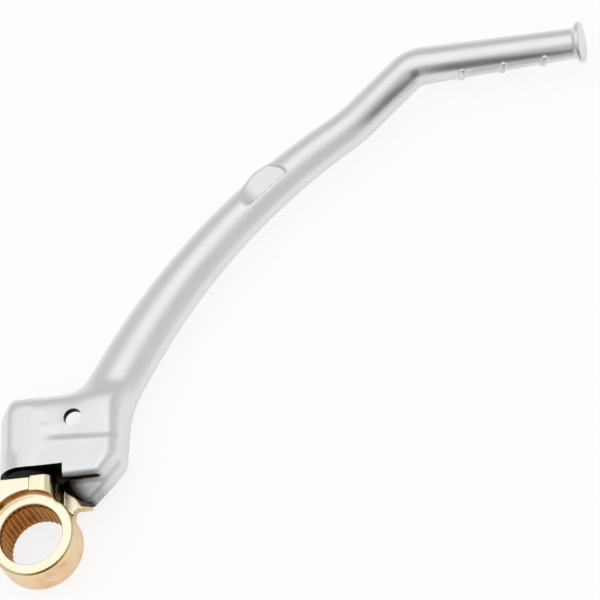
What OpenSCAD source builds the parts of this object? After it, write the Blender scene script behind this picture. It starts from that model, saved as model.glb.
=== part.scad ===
// Folding kick start lever of a motorcycle: a forged aluminium arm with its foot pedal,
// hinged on a splined steel knuckle.
// The origin is on the spline axis at the knuckle's back face. Z points out along the shaft,
// and Y along the fold axis.
// The lever is drawn folded, so its arm and pedal lie in the XY plane.

/* [Spline boss] */
// Diameter inside the spline teeth
spline_d = 22; // [19:0.5:23]
// Number of spline teeth
spline_count = 36; // [24:1:40]
// Height of a spline tooth
spline_h = 0.7; // [0.5:0.1:0.9]
// Outer diameter of the boss
boss_d = 31; // [30:0.5:33]
// Length of the boss along the shaft
boss_l = 16; // [14:0.5:17]
// Depth of the plain lead-in at the front of the bore
lead_l = 1.8; // [1:0.1:2.5]
// Width of the chamfer round the boss's front
front_chamfer = 0.6; // [0.3:0.1:0.9]
// Width of the chamfer round the boss's back
back_chamfer = 1.8; // [0.6:0.1:2.5]
// Draft of the boss's side, on radius
boss_draft = 0.3; // [0:0.1:0.6]

/* [Knuckle block] */
// Place of the fold axis along X, from the spline axis
pivot_x = -2.5; // [-4:0.5:-1]
// Height of the left pad above the spline axis
pad_y = 20.5; // [20:0.1:20.8]
// Height of the right nose above the spline axis
nose_y = 21.5; // [21.2:0.1:22.3]
// Width of the block to the left of the fold axis
block_left = 10; // [9.6:0.1:10.4]
// Width of the block to the right of the fold axis
block_right = 10.9; // [10.4:0.1:11.6]
// Distance from the fold axis to the left pad's face
pad_reach = 9.3; // [9:0.1:9.5]
// Step back from the pad's face to the nose's face
pad_step = 0.7; // [0.4:0.1:1]
// Place of that step, to the right of the fold axis
pad_step_x = 2.3; // [1.6:0.1:3]
// Corner radius of the nose
nose_r = 5.6; // [4.5:0.1:6]
// Clearance between the boss's rim and the wall of the recess round it
recess_gap = 0.1; // [0.05:0.05:0.6]
// Radius of the fillet at the foot of that wall
recess_fillet = 1.3; // [0.6:0.1:1.6]
// Reach of the folded stop to the right of the spline axis
tab_reach = 18.6; // [17.5:0.1:19.5]
// Height of the folded stop's lower edge above the spline axis
tab_y = 12.3; // [11.6:0.1:13]
// Thickness of the folded stop
tab_t = 3.5; // [3:0.1:4]
// Distance from the boss's back face to the folded stop
tab_z = 2.5; // [2:0.1:3]

/* [Pivot] */
// Diameter of the journal that the lever turns on
journal_d = 12; // [11:0.1:12.4]
// Running clearance on radius between the journal and its bushes
running_gap = 0.03; // [0.02:0.01:0.06]
// Wall of the bushes
bush_wall = 1; // [0.8:0.1:1.2]
// Length of the upper bush
upper_bush_l = 9.5; // [7:0.5:11]
// Thickness of the thrust washer and of the top washer
washer_t = 1; // [0.8:0.1:1.2]
// Width of the washers' faces
washer_w = 1.3; // [1:0.1:1.4]
// Width of the dust seal's face
seal_w = 1.2; // [1:0.1:1.3]
// Thickness of the circlip
circlip_t = 1; // [0.8:0.1:1.2]
// Depth of the circlip's groove
groove_depth = 0.55; // [0.4:0.05:0.7]
// Clearance beside flat faces that run on each other
face_gap = 0.1; // [0.05:0.01:0.15]
// Diameter of the detent ball
ball_d = 7; // [6.4:0.1:7.2]
// How far the ball drops into its dimples
ball_drop = 0.5; // [0.3:0.05:0.6]
// Wire of the detent spring
spring_wire = 0.9; // [0.7:0.1:1]
// Turns of the detent spring
spring_turns = 6; // [4:1:7]
// Angle that the lever folds out
fold_angle = 60; // [50:1:65]

/* [Lever root] */
// Thickness of the lever at its pivot, front to back
root_t = 20; // [19.6:0.1:20.6]
// Height of the lever's lower machined face above the spline axis
face_y = 23.7; // [23.5:0.1:24.2]
// Clearance between the knuckle's nose and the lever's notch beside it
notch_gap = 3.2; // [2.9:0.1:3.6]
// Height of the lever's root above the spline axis
root_y = 52.8; // [51.5:0.1:54]
// Radius of the fillet between the root's top and the arm
root_fillet_r = 10.4; // [9.6:0.1:10.8]
// Radius of the root's upper left corner
corner_r = 6.5; // [5:0.5:9]
// Height of the detent's cross hole above the spline axis
detent_y = 28; // [27.8:0.1:28.6]
// Diameter of the hole through the web
web_hole_d = 6.6; // [5:0.2:7.4]
// Wall left at the web hole
web_wall = 4.1; // [3.5:0.1:5.5]
// Place of the web hole, to the right of the spline axis
web_hole_x = 15.4; // [14.5:0.1:17]
// Height of the web hole above the spline axis
web_hole_y = 41.9; // [41:0.1:43]
// Right edge of the stop flange, from the spline axis
flange_x = 31.8; // [31:0.1:33]
// Thickness of the stop flange
flange_t = 7.7; // [6.8:0.1:8.2]
// Radius of the stop flange's rounded heel
heel_r = 8.8; // [8.4:0.1:9.2]

/* [Arm] */
// Straight run of the arm inside and above the root
root_run = 26; // [22:1:30]
// Run of the long bow
bow_run = 110; // [90:1:130]
// Turn of the long bow
bow_turn = 28; // [20:1:34]
// Run of the counter bow above it
counter_run = 12; // [8:1:18]
// Turn of the counter bow
counter_turn = 11; // [6:1:15]
// Straight neck below the pedal bend
neck_run = 18; // [12:1:26]
// Radius of the pedal bend
bend_r = 15.5; // [12:0.5:22]
// Width of the arm at the root
arm_w_root = 19.4; // [17.5:0.1:20]
// Width of the arm at the end of the long bow
arm_w_top = 14; // [13:0.1:15.5]
// Thickness of the arm at the root
arm_t_root = 14; // [13:0.1:15]
// Thickness of the arm at the end of the long bow
arm_t_top = 12.8; // [12:0.1:14]
// Radius of the flat round pad halfway up the arm
seat_r = 8.3; // [7:0.1:9]
// How far the pad lies above the arm's middle plane
seat_h = 4.8; // [4:0.1:5.4]
// Distance from the pad's middle to its straight wall
seat_wall = 0.8; // [0:0.1:2]

/* [Pedal] */
// Length of the pedal from the bend to its end face
pedal_l = 56.4; // [50:0.2:66]
// Diameter of the pedal at the bend
pedal_d_root = 13.3; // [12.5:0.1:15]
// Diameter of the pedal at its tip
pedal_d_tip = 11.2; // [10.4:0.1:13]
// Diameter of the end flange
end_flange_d = 15.1; // [14.5:0.1:17]
// Thickness of the end flange
end_flange_t = 2.2; // [1.6:0.1:3]
// Number of anti-slip ribs, not counting the one beside the flange
rib_count = 3; // [2:1:4]
// Spacing of the ribs
rib_pitch = 15; // [11:0.1:15.4]
// Width of a rib
rib_w = 2.3; // [1.8:0.1:3]
// Height of a rib
rib_h = 1; // [0.8:0.1:1.6]

/* [Hidden] */

steel_gold = "#E6D3A0";
forged_silver = "#D4D6D8";
bronze = "#B08A4A";
bright_steel = "#B9BCC0";
black_rubber = "#1C1C1E";

// Cuts run this far past the face that they open on
over = 1;
// A press fit's clearance on radius
press_gap = 0.01;

pivot_z = root_t / 2;
major_r = spline_d / 2 + spline_h;
tab_foot = 37;
lead_r = major_r + 0.05;
recess_r = boss_d / 2 + recess_gap;

// Pivot stack, read upwards along the fold axis
journal_r = journal_d / 2;
bore_r = journal_r + running_gap + bush_wall;
washer_r = journal_r + washer_w;
shoulder_y = face_y - washer_t - 2 * face_gap;
seal_in_r = washer_r + face_gap;
seal_out_r = seal_in_r + seal_w;
seal_pocket_r = seal_out_r + face_gap;
circlip_r = washer_r - 0.2;
groove_r = journal_r - groove_depth;
counterbore_r = washer_r + 0.3;
bush_floor = detent_y - ball_d / 2;
counterbore_y = root_y - 6;
top_washer_y = counterbore_y + face_gap / 2;
circlip_y = top_washer_y + washer_t + face_gap;
journal_y = circlip_y + circlip_t + 1.8;
lower_bush_y = face_y + face_gap / 2;
lower_bush_l = detent_y + ball_d / 2 + 3.5 - lower_bush_y;
upper_bush_y = counterbore_y - upper_bush_l - press_gap;

// Detent, read outwards from the fold axis
ball_gap = 0.03;
hole_r = ball_d / 2 + 0.1;
ball_x = journal_r + ball_d / 2 + ball_gap;
dimple_x = ball_x - ball_gap - ball_drop;
spring_r = ball_d / 2 - 0.3 - spring_wire / 2;
spring_x = ball_x + ball_d / 2 - spring_wire / 2;
spring_l = 13;
hole_end = spring_x + spring_l + spring_wire / 2 + 0.1;
plug_t = 1.6;

// Lever root
web_front = root_t - 1;
web_edge = 6;
block_edge = 3;
block_front = root_t - 0.3;
block_low = face_y - 3.2;
block_x = flange_x - 2.8;
notch_x = pivot_x + block_right + notch_gap;
tab_front = tab_z + tab_t;
flange_z = tab_front + 0.3;
heel_x = notch_x + heel_r;
heel_y = face_y - 3.7;
pocket_x = pivot_x + bore_r + 5;
pocket_edge = 3;
pocket_reach = 6;
pocket_draft = 0.5;

// Arm path: each run is a straight or an arc, as [length, turn in degrees, steps]
path_start = [20.6, 42.5];
path_heading = 60;
pedal_heading = 1.7;
bend_turn = path_heading - bow_turn + counter_turn - pedal_heading;
bend_run = bend_r * bend_turn * PI / 180;
arm_runs = [
    [root_run, 0, 3],
    [bow_run, -bow_turn, 22],
    [counter_run, counter_turn, 4],
    [neck_run, 0, 3],
    [bend_run, -bend_turn, 8],
    [pedal_l - end_flange_t / 2, 0, 5]
];
run_starts = [for (i = [0:len(arm_runs)]) run_sum(i)];
stations = [
    for (i = [0:len(arm_runs) - 1])
        for (k = [0:arm_runs[i][2] - 1])
            run_starts[i] + arm_runs[i][0] * k / arm_runs[i][2],
    run_starts[len(arm_runs)]
];
widths = [
    [0, arm_w_root + 0.8], [run_starts[1], arm_w_root], [run_starts[2], arm_w_top],
    [run_starts[4], pedal_d_root + 0.2], [run_starts[5], pedal_d_root], [run_starts[6], pedal_d_tip]
];
thicknesses = [
    [0, arm_t_root + 0.4], [run_starts[1], arm_t_root], [run_starts[2], arm_t_top],
    [run_starts[4], pedal_d_root - 0.2], [run_starts[5], pedal_d_root], [run_starts[6], pedal_d_tip]
];
arm_sides = 24;

// Length of the first runs, count of them
function run_sum(count) = count == 0 ? 0 : run_sum(count - 1) + arm_runs[count - 1][0];

// Where a walk along the runs has come to after a length s: [x, y, heading]
function walk(s, p, h, i = 0) =
    let (run = arm_runs[i], last = i == len(arm_runs) - 1, part = last ? s : min(s, run[0]),
         turn = run[1] * part / run[0], q = p + stretch(part, turn, h))
    last || s <= run[0] ? [q.x, q.y, h + turn] : walk(s - run[0], q, h + turn, i + 1);

// The step made by a straight or an arc that starts at heading h
function stretch(length, turn, h) =
    turn == 0 ? length * [cos(h), sin(h)]
              : length * 180 / (PI * turn) * [sin(h + turn) - sin(h), cos(h) - cos(h + turn)];

function on_path(s) = walk(s, path_start, path_heading);

// An arc as points, about centre c
function arc(c, r, from, to, steps = 8) =
    [for (k = [0:steps]) let (a = from + (to - from) * k / steps) c + r * [cos(a), sin(a)]];

// One ring of the arm: an ellipse square to the path
function arm_ring(s) =
    let (at = on_path(s), w = lookup(s, widths) / 2, t = lookup(s, thicknesses) / 2)
    [for (k = [0:arm_sides - 1])
        let (a = 360 * k / arm_sides, n = w * cos(a))
        [at.x - n * sin(at.z), at.y + n * cos(at.z), pivot_z + t * sin(a)]];

// A closed tube through rings of equal counts, with flat ends
module tube(rings) {
    count = len(rings[0]);
    last = len(rings) - 1;
    polyhedron(
        points = [for (ring = rings) for (p = ring) p],
        faces = concat(
            [[for (k = [0:count - 1]) k]],
            [for (i = [0:last - 1])
                for (k = [0:count - 1])
                    let (a = i * count, b = a + count, n = (k + 1) % count)
                    [a + k, b + k, b + n, a + n]],
            [[for (k = [count - 1:-1:0]) last * count + k]]
        ),
        convexity = 6
    );
}

// Places children on the fold axis at height y, with their Z along it
module on_pivot(y) {
    translate([pivot_x, y, pivot_z])
        rotate([-90, 0, 0])
            children();
}

// Places children on the cross hole's axis, x to the right of the fold axis, with their Z along X
module on_detent(x) {
    translate([pivot_x + x, detent_y, pivot_z])
        rotate([0, 90, 0])
            children();
}

// A convex outline as a forged block: rounded edges at the front and the back
module forged_block(outline, back, front, edge, steps = 4) {
    hull()
        for (k = [0:steps]) {
            a = 90 * k / steps;
            inset = edge * (1 - cos(a));
            rise = edge * (1 - sin(a));
            translate([0, 0, back + rise])
                linear_extrude(front - back - 2 * rise)
                    offset(delta = -inset)
                        polygon(outline);
        }
}

// Knuckle

module spline_teeth() {
    step = 360 / spline_count;
    polygon([
        for (k = [0:spline_count - 1])
            for (corner = [[0.0, 0], [0.22, 0], [0.42, 1], [0.8, 1]])
                let (r = spline_d / 2 + spline_h * corner[1], a = (k + corner[0]) * step)
                [r * cos(a), r * sin(a)]
    ]);
}

module boss_blank() {
    rotate_extrude($fn = 96)
        polygon([
            [0, 0], [boss_d / 2 - boss_draft - back_chamfer, 0], [boss_d / 2 - boss_draft, back_chamfer],
            [boss_d / 2, boss_l - front_chamfer], [boss_d / 2 - front_chamfer, boss_l], [0, boss_l]
        ]);
}

module block_section() {
    front = pad_reach - pad_step;
    back = front_chamfer - pivot_z;
    polygon(concat(
        [[-block_left, back + 0.6], [-block_left + 0.6, back]],
        arc([block_right - 2, back + 2], 2, -90, 0, 4),
        arc([block_right - nose_r, front - nose_r], nose_r, 0, 90, 10),
        [[pad_step_x, front], [pad_step_x, pad_reach]],
        [[-block_left + 0.6, pad_reach], [-block_left, pad_reach - 0.6]]
    ));
}

module knuckle_block() {
    translate([pivot_x, nose_y, pivot_z])
        rotate([90, 0, 0])
            linear_extrude(nose_y)
                block_section();
}

module stop_tab() {
    tip_r = 0.9;
    foot_r = 1.2;
    foot = [boss_d / 2 * cos(tab_foot), boss_d / 2 * sin(tab_foot)];
    translate([0, 0, tab_z])
        linear_extrude(tab_t)
            polygon(concat(
                [[0, boss_d / 2 - 3], [0, nose_y - 3], [notch_x - 2.6, face_y - 1.5]],
                [[notch_x - 1, face_y - 1.5], [notch_x - 0.6, block_low - 0.9]],
                arc([tab_reach - tip_r, tab_y + tip_r], tip_r, 50, -90, 6),
                arc([foot.x + foot_r + 0.4, tab_y - foot_r], foot_r, 90, 180, 4),
                [foot, [boss_d / 2 - 4, 4]]
            ));
}

module journal() {
    groove_low = circlip_y - shoulder_y;
    groove_high = groove_low + circlip_t + face_gap;
    top = journal_y - shoulder_y;
    on_pivot(shoulder_y)
        rotate_extrude($fn = 64)
            polygon([
                [0, -2], [washer_r, -2], [washer_r, 0], [journal_r, 0], [journal_r, groove_low],
                [groove_r, groove_low], [groove_r, groove_high], [journal_r, groove_high],
                [journal_r, top - 0.6], [journal_r - 0.6, top], [0, top]
            ]);
}

module seal_seat() {
    on_pivot(pad_y)
        difference() {
            cylinder(r = seal_pocket_r, h = face_y - pad_y, $fn = 64);
            translate([0, 0, -over])
                cylinder(r = washer_r, h = shoulder_y - pad_y + over, $fn = 64);
        }
}

// Recess round the boss's rim, filleted at its foot
module rim_recess() {
    translate([0, 0, boss_l])
        rotate_extrude($fn = 96)
            polygon(concat(
                [[0, 0]],
                arc([recess_r - recess_fillet, recess_fillet], recess_fillet, -90, 0, 6),
                [[recess_r, root_t], [0, root_t]]
            ));
}

module knuckle() {
    color(steel_gold)
        difference() {
            union() {
                difference() {
                    union() {
                        boss_blank();
                        knuckle_block();
                        stop_tab();
                    }
                    // The left pad stops lower than the nose
                    translate([pivot_x - block_left - over, pad_y, -over])
                        cube([block_left + pad_step_x + over, root_y, root_t + 2 * over]);
                    seal_seat();
                    rim_recess();
                }
                journal();
            }
            translate([0, 0, -over])
                linear_extrude(boss_l + 2 * over)
                    spline_teeth();
            translate([0, 0, boss_l - lead_l])
                cylinder(r = lead_r, h = lead_l + over, $fn = 72);
            for (a = [0, fold_angle])
                translate([pivot_x + dimple_x * cos(a), detent_y, pivot_z + dimple_x * sin(a)])
                    sphere(d = ball_d + 0.1, $fn = 48);
        }
}

// Lever

module arm_blank() {
    tube([for (s = stations) arm_ring(s)]);
}

module pivot_housing() {
    r = root_t / 2;
    on_pivot(face_y)
        rotate_extrude($fn = 72)
            polygon(concat(
                [[0, 0], [r - 0.3, 0], [r, 0.3]],
                arc([r - corner_r, root_y - face_y - corner_r], corner_r, 0, 90, 8),
                [[0, root_y - face_y]]
            ));
}

module web_block() {
    forged_block(
        [
            [pivot_x - 8, face_y - web_edge], [pivot_x + 8, face_y - web_edge], [block_x - 2, detent_y + 3],
            [flange_x - 3, root_y - 10], [flange_x - 7, root_y], [pivot_x - 3, root_y],
            [pivot_x - 8, root_y - 5]
        ],
        0.5, web_front, web_edge
    );
}

// Filler in the corner between the root's top and the arm
module root_fillet() {
    centre = [13, root_y + 10.1];
    translate([0, 0, 4.5])
        linear_extrude(11.1)
            polygon(concat(
                [[centre.x, root_y - 4]],
                arc(centre, root_fillet_r, -92, -16, 10),
                [[path_start.x + 8, root_y + 4]]
            ));
}

module detent_block() {
    top = detent_y + 7;
    forged_block(
        [
            [pivot_x, block_low], [block_x - 8.3, block_low], [block_x, block_low + 9],
            [block_x, top], [pivot_x, top]
        ],
        3.5, block_front, block_edge
    );
}

module stop_flange() {
    forged_block(
        concat(
            [[notch_x, web_hole_y]],
            arc([heel_x, heel_y], heel_r, 180, 268, 8),
            [[flange_x - 4.5, face_y - 5.6], [flange_x, face_y + 0.3], [flange_x, web_hole_y]]
        ),
        flange_z, flange_z + flange_t, 1.2
    );
}

module seat_outline(r) {
    intersection() {
        circle(r = r, $fn = 72);
        translate([-2 * r, -seat_wall])
            square([4 * r, 2 * r]);
    }
}

// The flat runs out into the arm at its lower end
module seat_cut_outline(r) {
    seat_outline(r);
    translate([-r - 0.6, -seat_wall])
        square([r, r - 1]);
}

// Places children at the flat pad: X along the arm, Y across it
module on_seat(z) {
    at = on_path(run_starts[1] + bow_run * 0.72);
    translate([at.x, at.y, z])
        rotate([0, 0, at.z])
            translate([0, -1.4, 0])
                children();
}

module pedal_frame(s) {
    at = on_path(s);
    translate([at.x, at.y, pivot_z])
        rotate([0, 0, at.z])
            rotate([0, 90, 0])
                children();
}

// A rib round the pedal's lower side, from the front to the back
module pedal_rib(s) {
    r = lookup(s, widths) / 2;
    pedal_frame(s)
        rotate([0, 0, 228])
            rotate_extrude(angle = 150, $fn = 72)
                polygon(concat(
                    [[r - 2, -rib_w / 2], [r - 0.2, -rib_w / 2 - 0.3]],
                    arc([r + rib_h - rib_w / 2, 0], rib_w / 2, -90, 90, 6),
                    [[r - 0.2, rib_w / 2 + 0.3], [r - 2, rib_w / 2]]
                ));
}

module end_flange() {
    r = pedal_d_tip / 2;
    lip = end_flange_d / 2;
    pedal_frame(run_starts[5] + pedal_l - end_flange_t)
        rotate_extrude($fn = 72)
            polygon(concat(
                [[0, -1.5], [r - 0.1, -1.5]],
                arc([r + 0.6, -0.6], 0.6, 180, 90, 4),
                arc([lip - 0.5, 0.5], 0.5, -90, 0, 4),
                arc([lip - 0.5, end_flange_t - 0.5], 0.5, 0, 90, 4),
                [[0, end_flange_t]]
            ));
}

module lever_arm() {
    color(forged_silver)
        difference() {
            union() {
                arm_blank();
                pivot_housing();
                web_block();
                detent_block();
                stop_flange();
                root_fillet();
                on_seat(pivot_z - seat_h)
                    linear_extrude(2 * seat_h)
                        seat_outline(seat_r);
                for (k = [1:rib_count])
                    pedal_rib(run_starts[5] + pedal_l - end_flange_t / 2 - k * rib_pitch);
                end_flange();
            }
            on_seat(pivot_z + seat_h)
                linear_extrude(root_t)
                    seat_cut_outline(seat_r);
            // Lower machined face, and the room that the knuckle's nose needs
            translate([pivot_x - root_t, 0, -over])
                cube([notch_x - pivot_x + root_t, face_y, root_t + 2 * over]);
            on_pivot(face_y - over)
                cylinder(r = bore_r + press_gap, h = root_y - face_y + 2 * over, $fn = 64);
            on_pivot(counterbore_y)
                cylinder(r = counterbore_r, h = root_y - counterbore_y + over, $fn = 64);
            on_detent(-root_t)
                cylinder(r = hole_r, h = root_t + hole_end, $fn = 48);
            translate([web_hole_x, web_hole_y, -over])
                cylinder(d = web_hole_d, h = root_t + 2 * over, $fn = 48);
            back_pocket();
        }
}

// Hollow behind the web that leaves web_wall at the hole and widens towards the back
module back_pocket() {
    floor_z = web_front - web_wall;
    low = web_hole_y - pocket_reach;
    right = web_hole_x + pocket_reach;
    high = web_hole_y + web_hole_d / 2 + 1;
    hull() {
        translate([0, 0, floor_z - 0.1])
            linear_extrude(0.1)
                rounded_slot([pocket_x, low], [right, high]);
        translate([0, 0, -over])
            linear_extrude(0.1)
                rounded_slot([pocket_x - 2, low], [right, high + pocket_draft * (floor_z + over)]);
    }
}

module rounded_slot(low, high) {
    hull()
        for (x = [low.x + pocket_edge, high.x - pocket_edge], y = [low.y + pocket_edge, high.y - pocket_edge])
            translate([x, y])
                circle(r = pocket_edge, $fn = 32);
}

// Pivot hardware

module ring(outer, inner, height) {
    difference() {
        cylinder(r = outer, h = height, $fn = 64);
        translate([0, 0, -over])
            cylinder(r = inner, h = height + 2 * over, $fn = 64);
    }
}

module lower_bush() {
    color(bronze)
        difference() {
            on_pivot(lower_bush_y)
                ring(bore_r, journal_r + running_gap, lower_bush_l);
            on_detent(0)
                cylinder(r = hole_r, h = 2 * bore_r, $fn = 48);
        }
}

module upper_bush() {
    color(bronze)
        on_pivot(upper_bush_y)
            ring(bore_r, journal_r + running_gap, upper_bush_l);
}

module thrust_washer() {
    color(bright_steel)
        on_pivot(shoulder_y + face_gap / 2)
            ring(washer_r, journal_r + running_gap * 2, washer_t);
}

module dust_seal() {
    color(black_rubber)
        on_pivot(pad_y + face_gap / 2)
            ring(seal_out_r, seal_in_r, face_y - pad_y - face_gap);
}

module top_washer() {
    color(bright_steel)
        on_pivot(top_washer_y)
            ring(washer_r, journal_r + running_gap * 2, washer_t);
}

module circlip() {
    gap = 50;
    color(bright_steel)
        on_pivot(circlip_y + face_gap / 2)
            difference() {
                union() {
                    ring(circlip_r, groove_r + press_gap, circlip_t);
                    for (side = [-1, 1])
                        rotate([0, 0, side * (gap / 2 + 6)])
                            translate([circlip_r - 0.7, 0, 0])
                                cylinder(r = 0.9, h = circlip_t, $fn = 24);
                }
                linear_extrude(3 * circlip_t, center = true)
                    polygon([
                        [0, 0], 2 * circlip_r * [cos(gap / 2), -sin(gap / 2)],
                        2 * circlip_r * [cos(gap / 2), sin(gap / 2)]
                    ]);
            }
}

module detent_ball() {
    color(bright_steel)
        translate([pivot_x + ball_x, detent_y, pivot_z])
            sphere(d = ball_d, $fn = 48);
}

module detent_spring() {
    per_turn = 12;
    count = spring_turns * per_turn;
    pitch = (spring_l - spring_wire) / count;
    color(bright_steel)
        on_detent(spring_x + spring_wire / 2 + 0.2)
            tube([
                for (i = [0:count])
                    let (a = i * 360 / per_turn)
                    [for (k = [0:5])
                        let (b = -k * 60, r = spring_r + spring_wire / 2 * cos(b))
                        [r * cos(a), r * sin(a), i * pitch + spring_wire / 2 * sin(b)]]
            ]);
}

module access_plug() {
    color(bright_steel)
        on_detent(-root_t / 2 + 0.2)
            cylinder(r = hole_r - press_gap, h = plug_t, $fn = 48);
}

knuckle();
lever_arm();
lower_bush();
upper_bush();
thrust_washer();
dust_seal();
top_washer();
circlip();
detent_ball();
detent_spring();
access_plug();
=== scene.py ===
"""Looks of a folding kick start lever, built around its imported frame.

The arm with its pedal and the splined knuckle are shaped as distance fields in millimetres, so that
forged forms flow into each other, and machined faces, bores and splines are then cut crisp.
"""

from __future__ import annotations

import logging
import math
from collections.abc import Sequence
from dataclasses import dataclass, field
from enum import Enum

import bmesh
import bpy
import numpy as np
from mathutils import Matrix, Vector

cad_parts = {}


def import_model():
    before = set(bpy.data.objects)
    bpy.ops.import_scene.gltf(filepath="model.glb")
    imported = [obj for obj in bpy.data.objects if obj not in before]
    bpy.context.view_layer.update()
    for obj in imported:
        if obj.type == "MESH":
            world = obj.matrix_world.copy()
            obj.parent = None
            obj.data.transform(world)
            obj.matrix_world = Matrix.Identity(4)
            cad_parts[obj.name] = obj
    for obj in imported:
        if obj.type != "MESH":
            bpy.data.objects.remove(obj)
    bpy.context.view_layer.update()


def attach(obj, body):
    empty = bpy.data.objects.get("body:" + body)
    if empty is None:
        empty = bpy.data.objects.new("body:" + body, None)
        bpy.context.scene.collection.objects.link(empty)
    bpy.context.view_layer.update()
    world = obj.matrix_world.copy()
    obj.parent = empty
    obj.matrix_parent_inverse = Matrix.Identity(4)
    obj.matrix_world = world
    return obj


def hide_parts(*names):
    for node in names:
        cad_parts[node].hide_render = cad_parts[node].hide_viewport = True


LOG = logging.getLogger("kick_start_lever")
MM = 0.001

Point = tuple[float, float]
Grid = np.ndarray

# Further away than anything on the part, in millimetres
FAR = 1e9
# The eight corners of a grid's cell, in grid steps
CELL_CORNERS = [(i, j, k) for i in (0, 1) for j in (0, 1) for k in (0, 1)]
# A mix node's own numbers for its sockets when it mixes colours
FACTOR, COLOUR_A, COLOUR_B, MIXED = 0, 6, 7, 2


# Small helpers


def linear(code: str) -> tuple[float, float, float, float]:
    """Turns an sRGB hex colour to a linear one.

    Args:
        code: The colour, as in "#D8DADC".

    Returns:
        The linear red, green, blue and an alpha of 1.
    """
    parts = [int(code[i : i + 2], 16) / 255 for i in (1, 3, 5)]
    return tuple(p / 12.92 if p <= 0.04045 else ((p + 0.055) / 1.055) ** 2.4 for p in parts) + (1.0,)


def add_node(
    tree: bpy.types.NodeTree, kind: str, settings: dict | None = None, links: dict | None = None
) -> bpy.types.Node:
    """Adds a node with its settings and its inputs.

    Args:
        tree: The node tree that takes the node.
        kind: The node's type.
        settings: Properties to set on the node.
        links: For each input, by name or number, a value or the output socket that feeds it.

    Returns:
        The new node.
    """
    node = tree.nodes.new(kind)
    for name, value in (settings or {}).items():
        setattr(node, name, value)
    for name, value in (links or {}).items():
        socket = node.inputs[name]
        if isinstance(value, bpy.types.NodeSocket):
            tree.links.new(value, socket)
        else:
            socket.default_value = value
    return node


def polar(radius: float, angle: float, centre: Point = (0.0, 0.0)) -> Point:
    """Gives the point at a radius and an angle, in degrees, from a centre."""
    a = math.radians(angle)
    return centre[0] + radius * math.cos(a), centre[1] + radius * math.sin(a)


def arc(centre: Point, radius: float, start: float, end: float, steps: int = 8) -> list[Point]:
    """Lists points on an arc.

    Args:
        centre: The arc's middle.
        radius: The arc's radius.
        start: The first angle in degrees.
        end: The last angle in degrees.
        steps: How many pieces the arc has.

    Returns:
        The points from start to end.
    """
    return [polar(radius, start + (end - start) * k / steps, centre) for k in range(steps + 1)]


def inset(outline: list[Point], distance: float) -> list[Point]:
    """Moves the sides of a convex outline inwards.

    Args:
        outline: Corners, counterclockwise.
        distance: How far each side moves.

    Returns:
        The corners of the smaller outline.
    """
    lines = []
    for (ax, ay), (bx, by) in zip(outline, outline[1:] + outline[:1]):
        length = math.hypot(bx - ax, by - ay)
        nx, ny = (ay - by) / length, (bx - ax) / length
        lines.append((nx, ny, nx * ax + ny * ay + distance))
    corners = []
    for (a, b, c), (d, e, f) in zip(lines[-1:] + lines[:-1], lines):
        cross = a * e - b * d
        corners.append(((c * e - b * f) / cross, (a * f - c * d) / cross))
    return corners


def fade(value: Grid, *stops: Point) -> Grid:
    """Follows a line through stops.

    Args:
        value: The values that it follows.
        stops: Each stop's place among the values, and what the line gives there.

    Returns:
        The line's values.
    """
    places, shares = zip(*stops)
    return np.interp(value, places, shares)


def eased(value: Grid, start: float, end: float) -> Grid:
    """Rises from 0 to 1, slowly at both ends.

    Args:
        value: The values that it follows.
        start: Where it leaves 0.
        end: Where it reaches 1.

    Returns:
        The eased values.
    """
    share = np.clip((value - start) / (end - start), 0, 1)
    return share * share * (3 - 2 * share)


# Distance fields


def joined(a: Grid, b: Grid, blend: float) -> Grid:
    """Unites two solids with a fillet between them.

    Args:
        a: Distances to the first solid.
        b: Distances to the second solid.
        blend: Width of the fillet in millimetres.

    Returns:
        Distances to both together.
    """
    return np.minimum(a, b) - np.maximum(blend - np.abs(a - b), 0) ** 2 / (4 * blend)


def carved(a: Grid, b: Grid, blend: float) -> Grid:
    """Takes the second solid out of the first, with rounded edges.

    Args:
        a: Distances to the solid that stays.
        b: Distances to the solid that is taken out.
        blend: Width of the rounding in millimetres.

    Returns:
        Distances to what is left.
    """
    return -joined(-a, b, blend)


def common(a: Grid, b: Grid, blend: float) -> Grid:
    """Keeps what two solids share, with rounded edges.

    Args:
        a: Distances to the first solid.
        b: Distances to the second solid.
        blend: Width of the rounding in millimetres.

    Returns:
        Distances to the shared part.
    """
    return -joined(-a, -b, blend)


def outline_distance(outline: list[Point], x: Grid, y: Grid) -> Grid:
    """Measures the signed distance from points of a plane to an outline.

    Args:
        outline: The outline's corners.
        x: First coordinate of the points.
        y: Second coordinate of the points.

    Returns:
        Distances, negative inside.
    """
    best = np.full(np.broadcast(x, y).shape, FAR, np.float32)
    inside = np.zeros(best.shape, bool)
    for (ax, ay), (bx, by) in zip(outline, outline[1:] + outline[:1]):
        ex, ey = bx - ax, by - ay
        t = np.clip(((x - ax) * ex + (y - ay) * ey) / (ex * ex + ey * ey), 0, 1)
        best = np.minimum(best, np.hypot(x - ax - ex * t, y - ay - ey * t))
        if ey:
            inside ^= ((ay > y) != (by > y)) & (x < ex * (y - ay) / ey + ax)
    return np.where(inside, -best, best)


def rounded(a: Grid, b: Grid, radius: float) -> Grid:
    """Crosses two distances that are square to each other, and rounds the edge between them.

    Args:
        a: Distances in one direction, such as across an outline.
        b: Distances in the other direction, such as along its depth.
        radius: The edge's radius.

    Returns:
        Distances to the rounded solid.
    """
    a, b = a + radius, b + radius
    return np.hypot(np.maximum(a, 0), np.maximum(b, 0)) + np.minimum(np.maximum(a, b), 0) - radius


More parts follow.
